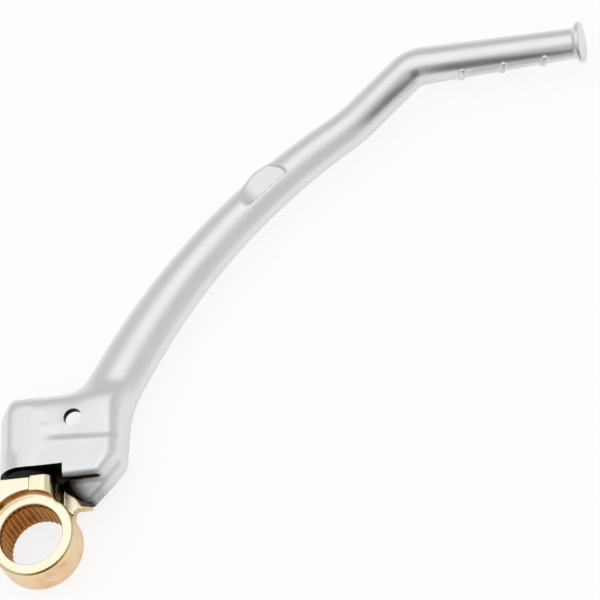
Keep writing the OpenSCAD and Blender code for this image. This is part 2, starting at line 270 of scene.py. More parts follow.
@dataclass
class Field:
    """A block of space, sampled on a regular grid in millimetres."""

    low: tuple[float, float, float]
    high: tuple[float, float, float]
    step: float

    def __post_init__(self) -> None:
        """Lays out the grid's three axes."""
        axes = [np.arange(a, b + self.step, self.step, dtype=np.float32) for a, b in zip(self.low, self.high)]
        self.x = axes[0][:, None, None]
        self.y = axes[1][None, :, None]
        self.z = axes[2][None, None, :]

    def skin(self, values: Grid) -> tuple[Grid, Grid]:
        """Finds the surface where the distance is zero.

        Args:
            values: Distances on the grid.

        Returns:
            The surface's points, and its four-sided faces.
        """
        full = np.broadcast_to(values, (self.x.size, self.y.size, self.z.size)).astype(np.float32)
        inside = full < 0
        shape = tuple(n - 1 for n in full.shape)
        count = np.zeros(shape, np.uint8)
        for i, j, k in CELL_CORNERS:
            count += inside[i : i + shape[0], j : j + shape[1], k : k + shape[2]]
        cells = np.argwhere((count > 0) & (count < len(CELL_CORNERS)))
        number = np.full(shape, -1, np.int32)
        number[tuple(cells.T)] = np.arange(len(cells))
        value = {c: full[tuple((cells + c).T)] for c in CELL_CORNERS}
        total = np.zeros((len(cells), 3))
        hits = np.zeros(len(cells))
        for c in CELL_CORNERS:
            for axis in range(3):
                if c[axis]:
                    continue
                far = tuple(1 if n == axis else v for n, v in enumerate(c))
                a, b = value[c], value[far]
                cut = (a < 0) != (b < 0)
                t = np.where(cut, a / np.where(cut, a - b, 1), 0)
                place = np.tile(np.array(c, float), (len(cells), 1))
                place[:, axis] = t
                total += place * cut[:, None]
                hits += cut
        points = cells + total / hits[:, None]
        return self._settled(full, points), self._faces(inside, number)

    def _faces(self, inside: Grid, number: Grid) -> Grid:
        """Joins the surface's points around each grid edge that it crosses.

        Args:
            inside: Which grid points lie inside the solid.
            number: The surface point of each cell.

        Returns:
            The four-sided faces, pointing outwards.
        """
        faces = []
        for axis in range(3):
            ahead = [slice(None)] * 3
            behind = [slice(None)] * 3
            ahead[axis], behind[axis] = slice(1, None), slice(None, -1)
            crossed = inside[tuple(ahead)] != inside[tuple(behind)]
            spots = np.argwhere(crossed)
            u, v = (axis + 1) % 3, (axis + 2) % 3
            rim = (spots[:, u] > 0) & (spots[:, v] > 0)
            rim &= (spots[:, u] < inside.shape[u] - 1) & (spots[:, v] < inside.shape[v] - 1)
            spots = spots[rim]
            ring = []
            for du, dv in ((1, 1), (0, 1), (0, 0), (1, 0)):
                near = spots.copy()
                near[:, u] -= du
                near[:, v] -= dv
                ring.append(number[tuple(near.T)])
            quad = np.stack(ring, 1)
            leaves = inside[tuple(spots.T)]
            quad[~leaves] = quad[~leaves][:, ::-1]
            faces.append(quad)
        return np.concatenate(faces)

    def _settled(
        self, full: Grid, points: Grid, rounds: int = 3, furthest: float = 0.4, pull: float = 0.9
    ) -> Grid:
        """Moves points onto the surface along its slope.

        Args:
            full: Distances on the grid.
            points: Points in grid steps.
            rounds: How often they are moved.
            furthest: How many grid steps a point may move in one round.
            pull: The share of the way that a point goes.

        Returns:
            The points in millimetres.
        """
        limit = np.array(full.shape) - 1.001
        for _ in range(rounds):
            base = np.clip(points, 0, limit)
            cell = base.astype(int)
            part = base - cell
            value = np.zeros(len(points))
            slope = np.zeros((len(points), 3))
            for c in CELL_CORNERS:
                sample = full[tuple((cell + c).T)]
                side = [part[:, n] if c[n] else 1 - part[:, n] for n in range(3)]
                value += sample * side[0] * side[1] * side[2]
                for n in range(3):
                    others = [side[m] for m in range(3) if m != n]
                    slope[:, n] += sample * (1 if c[n] else -1) * others[0] * others[1]
            steep = np.maximum((slope**2).sum(1), 1e-6)
            move = -(value / steep)[:, None] * slope
            points = points + np.clip(move, -furthest, furthest) * pull
        return points * self.step + np.array(self.low)


# Meshes


class Edges(Enum):
    """The angle, in degrees, from which an edge shows as sharp."""

    FORGED = 50.0
    MACHINED = 32.0


class Way(Enum):
    """What tools do to a piece."""

    CUT = "DIFFERENCE"
    ADD = "UNION"


def new_object(name: str, mesh: bpy.types.Mesh) -> bpy.types.Object:
    """Puts a mesh into the scene as an object at the origin.

    Args:
        name: The object's name.
        mesh: Its mesh.

    Returns:
        The object.
    """
    mesh.name = name
    piece = bpy.data.objects.new(name, mesh)
    bpy.context.scene.collection.objects.link(piece)
    return piece


def mesh_of(name: str, points: Sequence | Grid, faces: Sequence | Grid) -> bpy.types.Object:
    """Makes an object from points in millimetres and faces.

    Args:
        name: The object's name.
        points: The points.
        faces: Each face's point numbers.

    Returns:
        The object, its faces pointing outwards.
    """
    mesh = bpy.data.meshes.new(name)
    mesh.from_pydata((np.asarray(points, float) * MM).tolist(), [], [list(map(int, f)) for f in faces])
    shape = bmesh.new()
    shape.from_mesh(mesh)
    bmesh.ops.recalc_face_normals(shape, faces=shape.faces)
    shape.to_mesh(mesh)
    shape.free()
    return new_object(name, mesh)


def turned(name: str, profile: list[Point], place: Matrix, segments: int = 96) -> bpy.types.Object:
    """Turns a closed profile round the local Z axis, as on a lathe.

    Args:
        name: The object's name.
        profile: Radius and height of each corner.
        place: Where the local frame stands, in millimetres.
        segments: Facets round the axis.

    Returns:
        The object.
    """
    points: list[Vector] = []
    rings: list[list[int]] = []
    for radius, height in profile:
        if radius < 1e-6:
            rings.append([len(points)] * segments)
            points.append(place @ Vector((0, 0, height)))
            continue
        rings.append(list(range(len(points), len(points) + segments)))
        for k in range(segments):
            a = 2 * math.pi * k / segments
            points.append(place @ Vector((radius * math.cos(a), radius * math.sin(a), height)))
    faces = []
    for low, high in zip(rings, rings[1:] + rings[:1]):
        for k in range(segments):
            n = (k + 1) % segments
            corners = list(dict.fromkeys((low[k], low[n], high[n], high[k])))
            if len(corners) > 2:
                faces.append(corners)
    return mesh_of(name, points, faces)


def drill(
    name: str, radius: float, low: float, high: float, place: Matrix, segments: int = 96
) -> bpy.types.Object:
    """Makes a plain round bar along the local Z axis, for a hole.

    Args:
        name: The object's name.
        radius: Its radius.
        low: Where it starts.
        high: Where it ends.
        place: Where the local frame stands, in millimetres.
        segments: Facets round the axis.

    Returns:
        The object.
    """
    return turned(name, [(0, low), (radius, low), (radius, high), (0, high)], place, segments)


def prism(name: str, outline: list[Point], low: float, high: float, place: Matrix) -> bpy.types.Object:
    """Stretches an outline along the local Z axis.

    Args:
        name: The object's name.
        outline: The corners.
        low: Where it starts.
        high: Where it ends.
        place: Where the local frame stands, in millimetres.

    Returns:
        The object.
    """
    count = len(outline)
    points = [place @ Vector((x, y, z)) for z in (low, high) for x, y in outline]
    faces = [list(range(count)), list(range(count, 2 * count))]
    faces += [[k, (k + 1) % count, count + (k + 1) % count, count + k] for k in range(count)]
    return mesh_of(name, points, faces)


def settle(piece: bpy.types.Object) -> bpy.types.Object:
    """Turns a piece's modifiers into plain mesh.

    Args:
        piece: The piece.

    Returns:
        The same piece, without modifiers.
    """
    bpy.context.view_layer.update()
    shown = piece.evaluated_get(bpy.context.evaluated_depsgraph_get())
    mesh = bpy.data.meshes.new_from_object(shown)
    piece.modifiers.clear()
    old = piece.data
    piece.data = mesh
    bpy.data.meshes.remove(old)
    mesh.name = piece.name
    return piece


def combine(piece: bpy.types.Object, tools: list[bpy.types.Object], way: Way) -> bpy.types.Object:
    """Cuts tools out of a piece, or adds them to it, and removes them.

    Args:
        piece: The piece that changes.
        tools: What is cut out or added, one after the other.
        way: Whether they are cut out or added.

    Returns:
        The piece.
    """
    for tool in tools:
        step = piece.modifiers.new(tool.name, "BOOLEAN")
        step.operation = way.value
        step.solver = "MANIFOLD"
        step.object = tool
    settle(piece)
    for tool in tools:
        mesh = tool.data
        bpy.data.objects.remove(tool)
        bpy.data.meshes.remove(mesh)
    return piece


@dataclass
class Skin:
    """A mesh's face corners: where they lie, in millimetres, and where surface and face look there."""

    mesh: bpy.types.Mesh

    def __post_init__(self) -> None:
        """Reads the mesh."""
        mesh = self.mesh
        points, loops, faces = len(mesh.vertices), len(mesh.loops), len(mesh.polygons)
        spot, lean = np.zeros(points * 3, np.float32), np.zeros(points * 3, np.float32)
        middle, face_lean = np.zeros(faces * 3, np.float32), np.zeros(faces * 3, np.float32)
        owner, sides = np.zeros(loops, np.int32), np.zeros(faces, np.int32)
        mesh.vertices.foreach_get("co", spot)
        mesh.vertices.foreach_get("normal", lean)
        mesh.polygons.foreach_get("center", middle)
        mesh.polygons.foreach_get("normal", face_lean)
        mesh.polygons.foreach_get("loop_total", sides)
        mesh.loops.foreach_get("vertex_index", owner)
        face = np.repeat(np.arange(faces), sides)
        self.spot = spot.reshape(-1, 3)[owner].T / MM
        self.lean = lean.reshape(-1, 3)[owner].T
        self.middle = middle.reshape(-1, 3)[face].T / MM
        self.face_lean = face_lean.reshape(-1, 3)[face].T

    def paint(self, name: str, values: Grid) -> None:
        """Stores one value for each face corner."""
        layer = self.mesh.attributes.new(name, "FLOAT", "CORNER")
        layer.data.foreach_set("value", np.clip(values, 0, 1).astype(np.float32))


def finish_piece(
    piece: bpy.types.Object, node: str, body: str, material: bpy.types.Material, edges: Edges
) -> bpy.types.Object:
    """Gives a finished piece its shading, material and body, and hides the frame's node that it stands for.

    Args:
        piece: The piece.
        node: The frame's node that it stands for.
        body: The frame's body that it moves with.
        material: Its material.
        edges: How sharp an edge has to be to show.

    Returns:
        The piece.
    """
    mesh = piece.data
    mesh.materials.clear()
    mesh.materials.append(material)
    mesh.shade_smooth()
    mesh.set_sharp_from_angle(angle=math.radians(edges.value))
    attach(piece, body)
    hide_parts(node)
    LOG.info("%s: %d faces on %s", piece.name, len(mesh.polygons), body)
    return piece


# Finishes


@dataclass(frozen=True)
class ForgedAluminium:
    """Aluminium alloy forging, shot-blasted and tumbled: pale, satin, with soft wide highlights.

    The grit is finer on the real part, and is drawn just coarse enough to show. Painted shade turns the metal
    black in the pivot's gap.
    """

    name: str = "forged aluminium, tumbled"
    colour: str = "#E6E6E7"
    worn_colour: str = "#EEEEEE"
    # Near black of the painted shade in the pivot's gap
    painted_shade_colour: str = "#080809"
    roughness: float = 0.38
    gloss_drift: Point = (0.03, 0.04)
    relief: float = 0.05
    grit_mm: float = 0.45
    cloud_mm: float = 14.0

    def build(self) -> bpy.types.Material:
        """Makes the material. The mesh's own painted shade value says how dark the metal is painted there."""
        material, tree, shader, place = start_material(self.name, 1.0)
        clouds = add_node(tree, "ShaderNodeTexNoise", links={
            "Vector": place, "Scale": 1 / (self.cloud_mm * MM), "Detail": 3.0,
            "Roughness": 0.5}).outputs["Fac"]
        tint = add_node(tree, "ShaderNodeMix", {"data_type": "RGBA"}, {
            FACTOR: clouds, COLOUR_A: linear(self.colour), COLOUR_B: linear(self.worn_colour)})
        # Painted shade: the metal's colour is mixed towards near black as far as the mesh's value says
        darkening = add_node(tree, "ShaderNodeAttribute", {"attribute_name": "painted_shade"})
        shade_painted = add_node(tree, "ShaderNodeMix", {"data_type": "RGBA"}, {
            FACTOR: darkening.outputs["Fac"], COLOUR_A: tint.outputs[MIXED], COLOUR_B: linear(self.painted_shade_colour)})
        tree.links.new(shade_painted.outputs[MIXED], shader.inputs["Base Color"])
        grit = add_node(tree, "ShaderNodeTexNoise", links={
            "Vector": place, "Scale": 1 / (self.grit_mm * MM), "Detail": 2.0,
            "Roughness": 0.6}).outputs["Fac"]
        add_satin(tree, shader, clouds, grit, self.roughness, self.gloss_drift, self.relief)
        return material


@dataclass(frozen=True)
class PassivatedZinc:
    """Yellow-passivated zinc plating over forged steel: cream on front faces, tan to brown on side faces and
    in hollows, partly by painted shade.

    More painted shade turns it olive, and black where it is darkest.
    """

    name: str = "yellow-passivated zinc"
    # Plating colours from the front faces to the bore's groove floors; the deepest ones also stand in for
    # shade
    shades: tuple[tuple[float, str], ...] = (
        (0.0, "#FBF3DC"), (0.3, "#F6E6B8"), (0.5, "#F6D7B0"), (0.62, "#D8A66E"), (0.74, "#B4642A"),
        (0.86, "#D08A22"), (1.0, "#7E5212"))
    # Colours that multiply the plating where shade is painted, from none to the darkest
    shade_tints: tuple[tuple[float, str], ...] = (
        (0.0, "#FFFFFF"), (0.3, "#B8B050"), (0.6, "#6E6A14"), (1.0, "#060604"))
    drift: float = 0.07
    roughness: float = 0.24
    gloss_drift: Point = (0.03, 0.05)
    relief: float = 0.06
    grain_mm: float = 0.8
    cloud_mm: float = 6.0

    def build(self) -> bpy.types.Material:
        """Makes the material. The mesh's own values say how deep the plating's colour is, partly as painted
        shade, and how much more shade is painted on.
        """
        material, tree, shader, place = start_material(self.name, 1.0)
        depth = add_node(tree, "ShaderNodeAttribute", {"attribute_name": "plating_and_shade"})
        clouds = add_node(tree, "ShaderNodeTexNoise", links={
            "Vector": place, "Scale": 1 / (self.cloud_mm * MM), "Detail": 2.0, "Roughness": 0.5})
        drift = add_node(tree, "ShaderNodeMapRange", links={
            "Value": clouds.outputs["Fac"], "From Min": 0.25, "From Max": 0.75,
            "To Min": -self.drift, "To Max": self.drift})
        darkening = add_node(tree, "ShaderNodeMath", {"operation": "ADD", "use_clamp": True}, {
            0: depth.outputs["Fac"], 1: drift.outputs["Result"]})
        # Painted shade: the plating's colour is multiplied towards olive and black
        painted_shade = add_node(tree, "ShaderNodeAttribute", {"attribute_name": "painted_shade"})
        plating = self.shade(tree, darkening.outputs[0], self.shades)
        shade_tint = self.shade(tree, painted_shade.outputs["Fac"], self.shade_tints)
        shade_tinted = add_node(tree, "ShaderNodeMix", {"data_type": "RGBA", "blend_type": "MULTIPLY"}, {
            FACTOR: 1.0, COLOUR_A: plating, COLOUR_B: shade_tint})
        tree.links.new(shade_tinted.outputs[MIXED], shader.inputs["Base Color"])
        grain = add_node(tree, "ShaderNodeTexNoise", links={
            "Vector": place, "Scale": 1 / (self.grain_mm * MM), "Detail": 2.0}).outputs["Fac"]
        add_satin(tree, shader, grain, grain, self.roughness, self.gloss_drift, self.relief)
        return material

    def shade(
        self, tree: bpy.types.NodeTree, value: bpy.types.NodeSocket, stops: tuple[tuple[float, str], ...]
    ) -> bpy.types.NodeSocket:
        """Turns a value to a colour by a row of stops.

        Args:
            tree: The node tree.
            value: The socket that gives the value.
            stops: Each stop's place and colour.

        Returns:
            The colour's socket.
        """
        node = add_node(tree, "ShaderNodeValToRGB", links={"Fac": value})
        row = node.color_ramp.elements
        for k, (spot, code) in enumerate(stops):
            stop = row[k] if k < 2 else row.new(spot)
            stop.position = spot
            stop.color = linear(code)
        return node.outputs["Color"]


@dataclass(frozen=True)
class PlainFinish:
    """A finish of one metal or rubber, with a fine grain of its own."""

    name: str
    colour: str
    dark_colour: str
    metallic: float
    roughness: float
    grain_mm: float
    gloss_drift: Point = (0.04, 0.05)
    relief: float = 0.1

    def build(self) -> bpy.types.Material:
        """Makes the material."""
        material, tree, shader, place = start_material(self.name, self.metallic)
        grain = add_node(tree, "ShaderNodeTexNoise", links={
            "Vector": place, "Scale": 1 / (self.grain_mm * MM), "Detail": 3.0}).outputs["Fac"]
        tint = add_node(tree, "ShaderNodeMix", {"data_type": "RGBA"}, {
            FACTOR: grain, COLOUR_A: linear(self.dark_colour), COLOUR_B: linear(self.colour)})
        tree.links.new(tint.outputs[MIXED], shader.inputs["Base Color"])
        add_satin(tree, shader, grain, grain, self.roughness, self.gloss_drift, self.relief)
        return material


# Warm yellow-brown with a soft gloss, as oil-soaked bronze has after turning
BEARING_BRONZE = PlainFinish("turned bearing bronze", "#C29A5C", "#A87C40", 1.0, 0.3, 1.5)
# Pale grey and bright, as hardened steel is from the grinding wheel
BRIGHT_STEEL = PlainFinish("ground bright steel", "#C9CBCE", "#B4B7BB", 1.0, 0.22, 1.2)
# Dark grey with a dull gleam, from tempering in oil
SPRING_STEEL = PlainFinish("oiled spring steel", "#56575A", "#3A3B3E", 1.0, 0.34, 1.0)
# Near black and matt, with the fine grain of its mould
MOULDED_RUBBER = PlainFinish("moulded nitrile rubber", "#0C0C0D", "#060607", 0.0, 0.7, 0.8)


def start_material(
    name: str, metallic: float
) -> tuple[bpy.types.Material, bpy.types.NodeTree, bpy.types.Node, bpy.types.NodeSocket]:
    """Starts a node material.

    Args:
        name: The finish's name.
        metallic: 1 for a metal, otherwise 0.

    Returns:
        The material, its tree, its shader node and the object coordinates' socket.
    """
    material = bpy.data.materials.new(name)
    material.use_nodes = True
    tree = material.node_tree
    tree.nodes.clear()
    place = add_node(tree, "ShaderNodeTexCoord").outputs["Object"]
    shader = add_node(tree, "ShaderNodeBsdfPrincipled", links={"Metallic": metallic})
    add_node(tree, "ShaderNodeOutputMaterial", links={"Surface": shader.outputs["BSDF"]})
    return material, tree, shader, place


def add_satin(
    tree: bpy.types.NodeTree, shader: bpy.types.Node, clouds: bpy.types.NodeSocket,
    grain: bpy.types.NodeSocket, roughness: float, gloss_drift: Point, relief: float, relief_mm: float = 0.02
) -> None:
    """Lets the gloss drift over a surface, and raises its fine grain.

    Args:
        tree: The material's tree.
        shader: Its shader node.
        clouds: The noise that the gloss follows.
        grain: The noise that is raised.
        roughness: The middle of the roughness.
        gloss_drift: How far the roughness falls below that, and rises above it.
        relief: How strongly the grain shows, from 0 to 1.
        relief_mm: The grain's height.
    """
    satin = add_node(tree, "ShaderNodeMapRange", links={
        "Value": clouds, "From Min": 0.3, "From Max": 0.7,
        "To Min": roughness - gloss_drift[0], "To Max": roughness + gloss_drift[1]})
    tree.links.new(satin.outputs["Result"], shader.inputs["Roughness"])
    skin = add_node(tree, "ShaderNodeBump", links={
        "Strength": relief, "Distance": relief_mm * MM, "Height": grain})
    tree.links.new(skin.outputs["Normal"], shader.inputs["Normal"])


# Pivot's places, shared by the lever and the knuckle


@dataclass(frozen=True)
class Pivot:
    """Where the fold axis and its stack of parts lie, in millimetres."""

    x: float = -2.5
    z: float = 10.0
    journal_r: float = 6.0
    running_gap: float = 0.03
    bore_r: float = 7.03
    washer_r: float = 7.3
    seal_in: float = 7.4
    seal_out: float = 8.6
    pocket_r: float = 8.7
    pad_y: float = 20.5
    shoulder_y: float = 22.5
    face_y: float = 23.7
    root_y: float = 52.8
    counterbore_y: float = 46.8
    counterbore_r: float = 7.6
    washer_t: float = 1.0
    circlip_y: float = 47.95
    circlip_t: float = 1.0
    groove_r: float = 5.45
    journal_y: float = 50.75
    detent_y: float = 28.0
    hole_r: float = 3.6
    ball_x: float = 9.53
    spring_x: float = 12.58

    def at(self, y: float) -> Matrix:
        """Gives a frame on the fold axis at height y, whose Z runs along it."""
        return Matrix.Translation((self.x, y, self.z)) @ Matrix.Rotation(-math.pi / 2, 4, "X")

    def beside(self, x: float) -> Matrix:
        """Gives a frame on the cross hole's axis, x from the fold axis, whose Z runs along X."""
        return Matrix.Translation((self.x + x, self.detent_y, self.z)) @ Matrix.Rotation(math.pi / 2, 4, "Y")


# Lever


@dataclass(frozen=True)
class ArmPath:
    """The middle line of the arm and the pedal: straights and arcs in the XY plane, in millimetres.

    Each run has its length and the angle that it turns by. Distances are measured from stations, one for
    each spacing, from a little before the path's start to a little after its end.
    """

    start: Point = (20.6, 42.5)
    heading: float = 60.0
    runs: tuple[tuple[float, float], ...] = (
        (26.0, 0.0), (110.0, -28.0), (12.0, 11.0), (20.108, 0.0), (8.0, -41.35), (56.65, 0.0))
    before: float = 12.0
    after: float = 2.0
    spacing: float = 0.8

    @property
    def bends(self) -> list[float]:
        """Gives the path's length at the start of each run, and its whole length last."""
        return [0.0] + np.cumsum([run[0] for run in self.runs]).tolist()

    def walk(self, s: float) -> tuple[float, float, float]:
        """Finds where the path has come to.

        Args:
            s: Length along the path; it goes straight on before its start and after its end.

        Returns:
            The place's x and y, and the heading there in degrees.
        """
        x, y = self.start
        h = self.heading
        left = s
        for k, (length, turn) in enumerate(self.runs):
            last = k == len(self.runs) - 1
            part = left if last else min(left, length)
            bend = math.radians(turn * part / length)
            a = math.radians(h)
            if bend:
                reach = part / bend
                x += reach * (math.sin(a + bend) - math.sin(a))
                y += reach * (math.cos(a) - math.cos(a + bend))
            else:
                x += part * math.cos(a)
                y += part * math.sin(a)
            h += math.degrees(bend)
            left -= part
            if left <= 0:
                break
        return x, y, h

    def locate(self, x: Grid, y: Grid) -> tuple[Grid, Grid]:
        """Finds where points of the plane lie along and beside the path.

        Args:
            x: The points' first coordinate.
            y: Their second coordinate.

        Returns:
            The length along the path and the distance to its left.
        """
        stations = np.arange(-self.before, self.bends[-1] + self.after, self.spacing)
        spots = np.array([self.walk(s) for s in stations], np.float32)
        shape = np.broadcast(x, y).shape
        flat_x, flat_y = (np.broadcast_to(a, shape).ravel() for a in (x, y))
        best = np.full(flat_x.shape, FAR, np.float32)
        pick = np.zeros(flat_x.shape, np.int32)
        for k, (px, py, _) in enumerate(spots):
            far = (flat_x - px) ** 2 + (flat_y - py) ** 2
            nearer = far < best
            best[nearer] = far[nearer]
            pick[nearer] = k
        turn = np.radians(spots[pick, 2])
        dx, dy = flat_x - spots[pick, 0], flat_y - spots[pick, 1]
        along = stations[pick].astype(np.float32) + dx * np.cos(turn) + dy * np.sin(turn)
        aside = dy * np.cos(turn) - dx * np.sin(turn)
        return along.reshape(shape), aside.reshape(shape)


@dataclass
class Lever:
    """The forged arm with its root, stop flange, flat pad and pedal, in millimetres.

    A blend is the width of the fillet between two forms, and a draft is what a wall leans for each
    millimetre of depth.
    """

    pivot: Pivot
    finish: ForgedAluminium
    path: ArmPath = field(default_factory=ArmPath)
    step: float = 0.45

    # Pivot housing, which is forged longer than its milled lower face
    root_d: float = 20.0
    root_top: float = 53.1
    root_swell: float = 1.04
    root_skirt: float = 9.0
    corner_r: float = 9.0
    lower_rise: float = 0.6

    # Web between the housing and the arm, with the soft valley across its face
    web_front: float = 19.9
    web_back: float = 0.5
    web_wall: float = 3.2
    web_left: float = 6.0
    web_foot: float = 2.5
    web_corner: float = 2.0
    web_round: float = 3.0
    web_blend: float = 2.5
    top_edge: float = 8.5
    side_x: float = 32.2
    side_edge: float = 5.5
    valley: float = 0.8
    valley_start: Point = (4.0, 35.6)
    valley_fall: float = 0.06
    valley_near: Point = (-2.6, 0.8)
    valley_far: Point = (0.4, 8.0)
    valley_along: Point = (2.0, 11.0)
    hole: Point = (15.6, 41.3)
    hole_r: float = 3.3

    # Hollow behind the web
    pocket_left: float = 5.0
    pocket_right: float = 6.0
    pocket_low: float = 6.0
    pocket_high: float = 1.0
    pocket_draft: Point = (0.125, 0.5)
    pocket_corner: float = 3.0
    pocket_edge: float = 1.2
    pocket_lip: float = 1.4

    # Block under the arm
    block_low: float = 19.3
    block_back: float = 3.5
    block_side: tuple[Point, ...] = ((25.5, 0.0), (35.3, 11.7), (38.0, 22.0))
    block_edge: float = 3.2
    block_corner: float = 2.5
    block_blend: float = 1.0

    # Stop flange
    notch_x: float = 12.1
    flange_x: float = 32.2
    flange_z: float = 6.3
    flange_t: float = 7.7
    flange_toe: Point = (4.9, 5.6)
    flange_side: Point = (0.3, 1.0)
    flange_reach: float = 8.0
    flange_top_in: float = 4.0
    flange_edge: float = 2.2
    flange_corner: float = 0.8
    flange_blend: float = 2.6
    heel_r: float = 8.8
    heel_drop: float = 3.7

    # Arm, with its width and thickness at the root and at the end of its bow
    arm_w: Point = (19.4, 14.0)
    arm_t: Point = (14.0, 12.8)
    arm_flare: Point = (0.8, 0.4)
    arm_sunk: float = 2.0
    arm_blend: float = 5.5

    # Flat round pad
    seat_share: float = 0.72
    seat_shift: float = -1.4
    seat_r: float = 8.3
    seat_h: float = 4.8
    seat_wall: float = 0.8
    seat_edge: float = 0.9
    seat_blend: float = 2.4
    seat_lip: float = 0.5
    ramp_x: float = 3.5
    ramp_bow: float = 0.036
    ramp_edge: float = 0.35

    # Pedal, with its diameters at the bend and at the tip, its end flange and its ribs
    pedal_d: Point = (13.3, 10.7)
    pedal_oval: float = 0.2
    pedal_l: float = 57.65
    flange_d: float = 14.54
    flange_end_t: float = 1.5
    flange_end_edge: float = 0.5
    rib_count: int = 3
    rib_first: float = 12.6
    rib_pitch: float = 14.9
    rib_w: float = 3.0
    rib_h: float = 0.8
    rib_slant: float = 2.0
    rib_start: float = 236.0
    rib_sweep: float = 142.0

    # How dark the painted shade lies over the stop flange, for each distance to the right
    painted_shade_fade: tuple[Point, ...] = (
        (13.0, 1.0), (15.0, 0.93), (19.5, 0.49), (22.5, 0.42), (26.8, 0.12), (28.3, 0.05), (31.0, 0.02))
    # Slant and heel of the painted shade's fade over the flange
    painted_shade_slant: float = 0.65
    painted_shade_heel: float = 17.0

    def build(self) -> bpy.types.Object:
        """Makes the lever's mesh and dresses it."""
        piece = self.forging()
        material = self.finish.build()
        combine(piece, [self.end_flange(), self.ribs(material)], Way.ADD)
        combine(piece, self.machining(), Way.CUT)
        # Paints shade into the pivot's gap and over the stop flange
        self.shade_paint(Skin(piece.data))
        return finish_piece(piece, "lever_arm", "lever", material, Edges.FORGED)

    def half_sizes(self, along: Grid) -> tuple[Grid, Grid]:
        """Gives half the arm's width and thickness along the path.

        Args:
            along: Lengths along the path.

        Returns:
            The half widths and the half thicknesses.
        """
        start, root_end, bow_end, _, straight_end, bend_end, tip_end = self.path.bends
        stations = [start, root_end, bow_end, straight_end, bend_end, tip_end]
        (wide, slim), (thick, thin), (thigh, tip) = self.arm_w, self.arm_t, self.pedal_d
        width = [wide + self.arm_flare[0], wide, slim, thigh + self.pedal_oval, thigh, tip]
        depth = [thick + self.arm_flare[1], thick, thin, thigh - self.pedal_oval, thigh, tip]
        return np.interp(along, stations, width) / 2, np.interp(along, stations, depth) / 2

    def arm(self, space: Field, along: Grid, aside: Grid) -> Grid:
        """Measures the distance to the arm and the pedal's plain bar.

        Args:
            space: The block of space.
            along: Lengths along the path, for the plane's points.
            aside: Distances to the path's left.

        Returns:
            Distances on the grid.
        """
        wide, deep = self.half_sizes(along)
        z = space.z - self.pivot.z
        near = np.hypot(aside / wide, z / deep)
        slope = np.hypot(aside / wide**2, z / deep**2)
        bar = near * (near - 1) / np.maximum(slope, 1e-4)
        ends = np.maximum(-along - self.arm_sunk, along - self.path.bends[-1])
        return np.maximum(bar, ends)

    def root(self, space: Field) -> Grid:
        """Measures the distance to the pivot housing with its web and block, without the arm.

        Args:
            space: The block of space.

        Returns:
            Distances on the grid.
        """
        p = self.pivot
        low = p.face_y - self.root_skirt
        ring = np.hypot((space.x - p.x) / self.root_swell, space.z - p.z) - self.root_d / 2
        tall = np.abs(space.y - (self.root_top + low) / 2) - (self.root_top - low) / 2
        housing = rounded(ring, tall, self.corner_r)
        deep = self.depth(space, self.web_back)
        top, side = space.y - self.root_top, space.x - self.side_x
        web = common(rounded(top, deep, self.top_edge), rounded(side, deep, self.side_edge), self.web_corner)
        inner = np.maximum(p.x - self.web_left - space.x, p.detent_y + self.web_foot - space.y)
        web = common(web, inner, self.web_round)
        deep = self.depth(space, self.block_back)
        right = [(x, self.block_low + rise) for x, rise in self.block_side]
        outline = [(p.x, right[0][1]), *right, (p.x, right[-1][1])]
        block = self.plate(space, outline, deep, self.block_edge, self.block_corner)
        block = common(block, rounded(side, deep, self.side_edge), self.block_blend)
        return joined(joined(housing, web, self.web_blend), block, self.block_blend)

    def depth(self, space: Field, back: float) -> Grid:
        """Measures the distance beyond the root's front face, with its soft valley, and its back.

        Args:
            space: The block of space.
            back: The back face's height.

        Returns:
            Distances along Z.
        """
        x, y = self.valley_start
        rise = space.y - (y - self.valley_fall * (space.x - x))
        dip = eased(rise, *self.valley_near) * (1 - eased(rise, *self.valley_far))
        dip = dip * eased(space.x, *self.valley_along)
        return np.maximum(space.z + self.valley * dip - self.web_front, back - space.z)

    def plate(self, space: Field, outline: list[Point], deep: Grid, edge: float, corner: float) -> Grid:
        """Measures the distance to a plate with rounded corners and edges.

        Args:
            space: The block of space.
            outline: The plate's convex outline, counterclockwise.
            deep: Distances beyond its front and back faces.
            edge: The radius of its edges at the front and the back.
            corner: The radius of its corners, seen from the front.

        Returns:
            Distances on the grid.
        """
        across = outline_distance(inset(outline, corner), space.x, space.y) - corner
        return rounded(across, deep, edge)

    def flange(self, space: Field) -> Grid:
        """Measures the distance to the stop flange, whose heel is round and whose toe is cut off.

        Args:
            space: The block of space.

        Returns:
            Distances on the grid.
        """
        p = self.pivot
        top = p.detent_y + self.flange_reach
        heel = (self.notch_x + self.heel_r, p.face_y - self.heel_drop)
        outline = [
            (self.notch_x, top), *arc(heel, self.heel_r, 180, 268),
            (self.flange_x - self.flange_toe[0], p.face_y - self.flange_toe[1]),
            (self.flange_x, p.face_y + self.flange_side[0]),
            (self.flange_x, p.detent_y + self.flange_side[1]), (self.flange_x - self.flange_top_in, top)]
        deep = np.abs(space.z - self.flange_z - self.flange_t / 2) - self.flange_t / 2
        return self.plate(space, outline, deep, self.flange_edge, self.flange_corner)

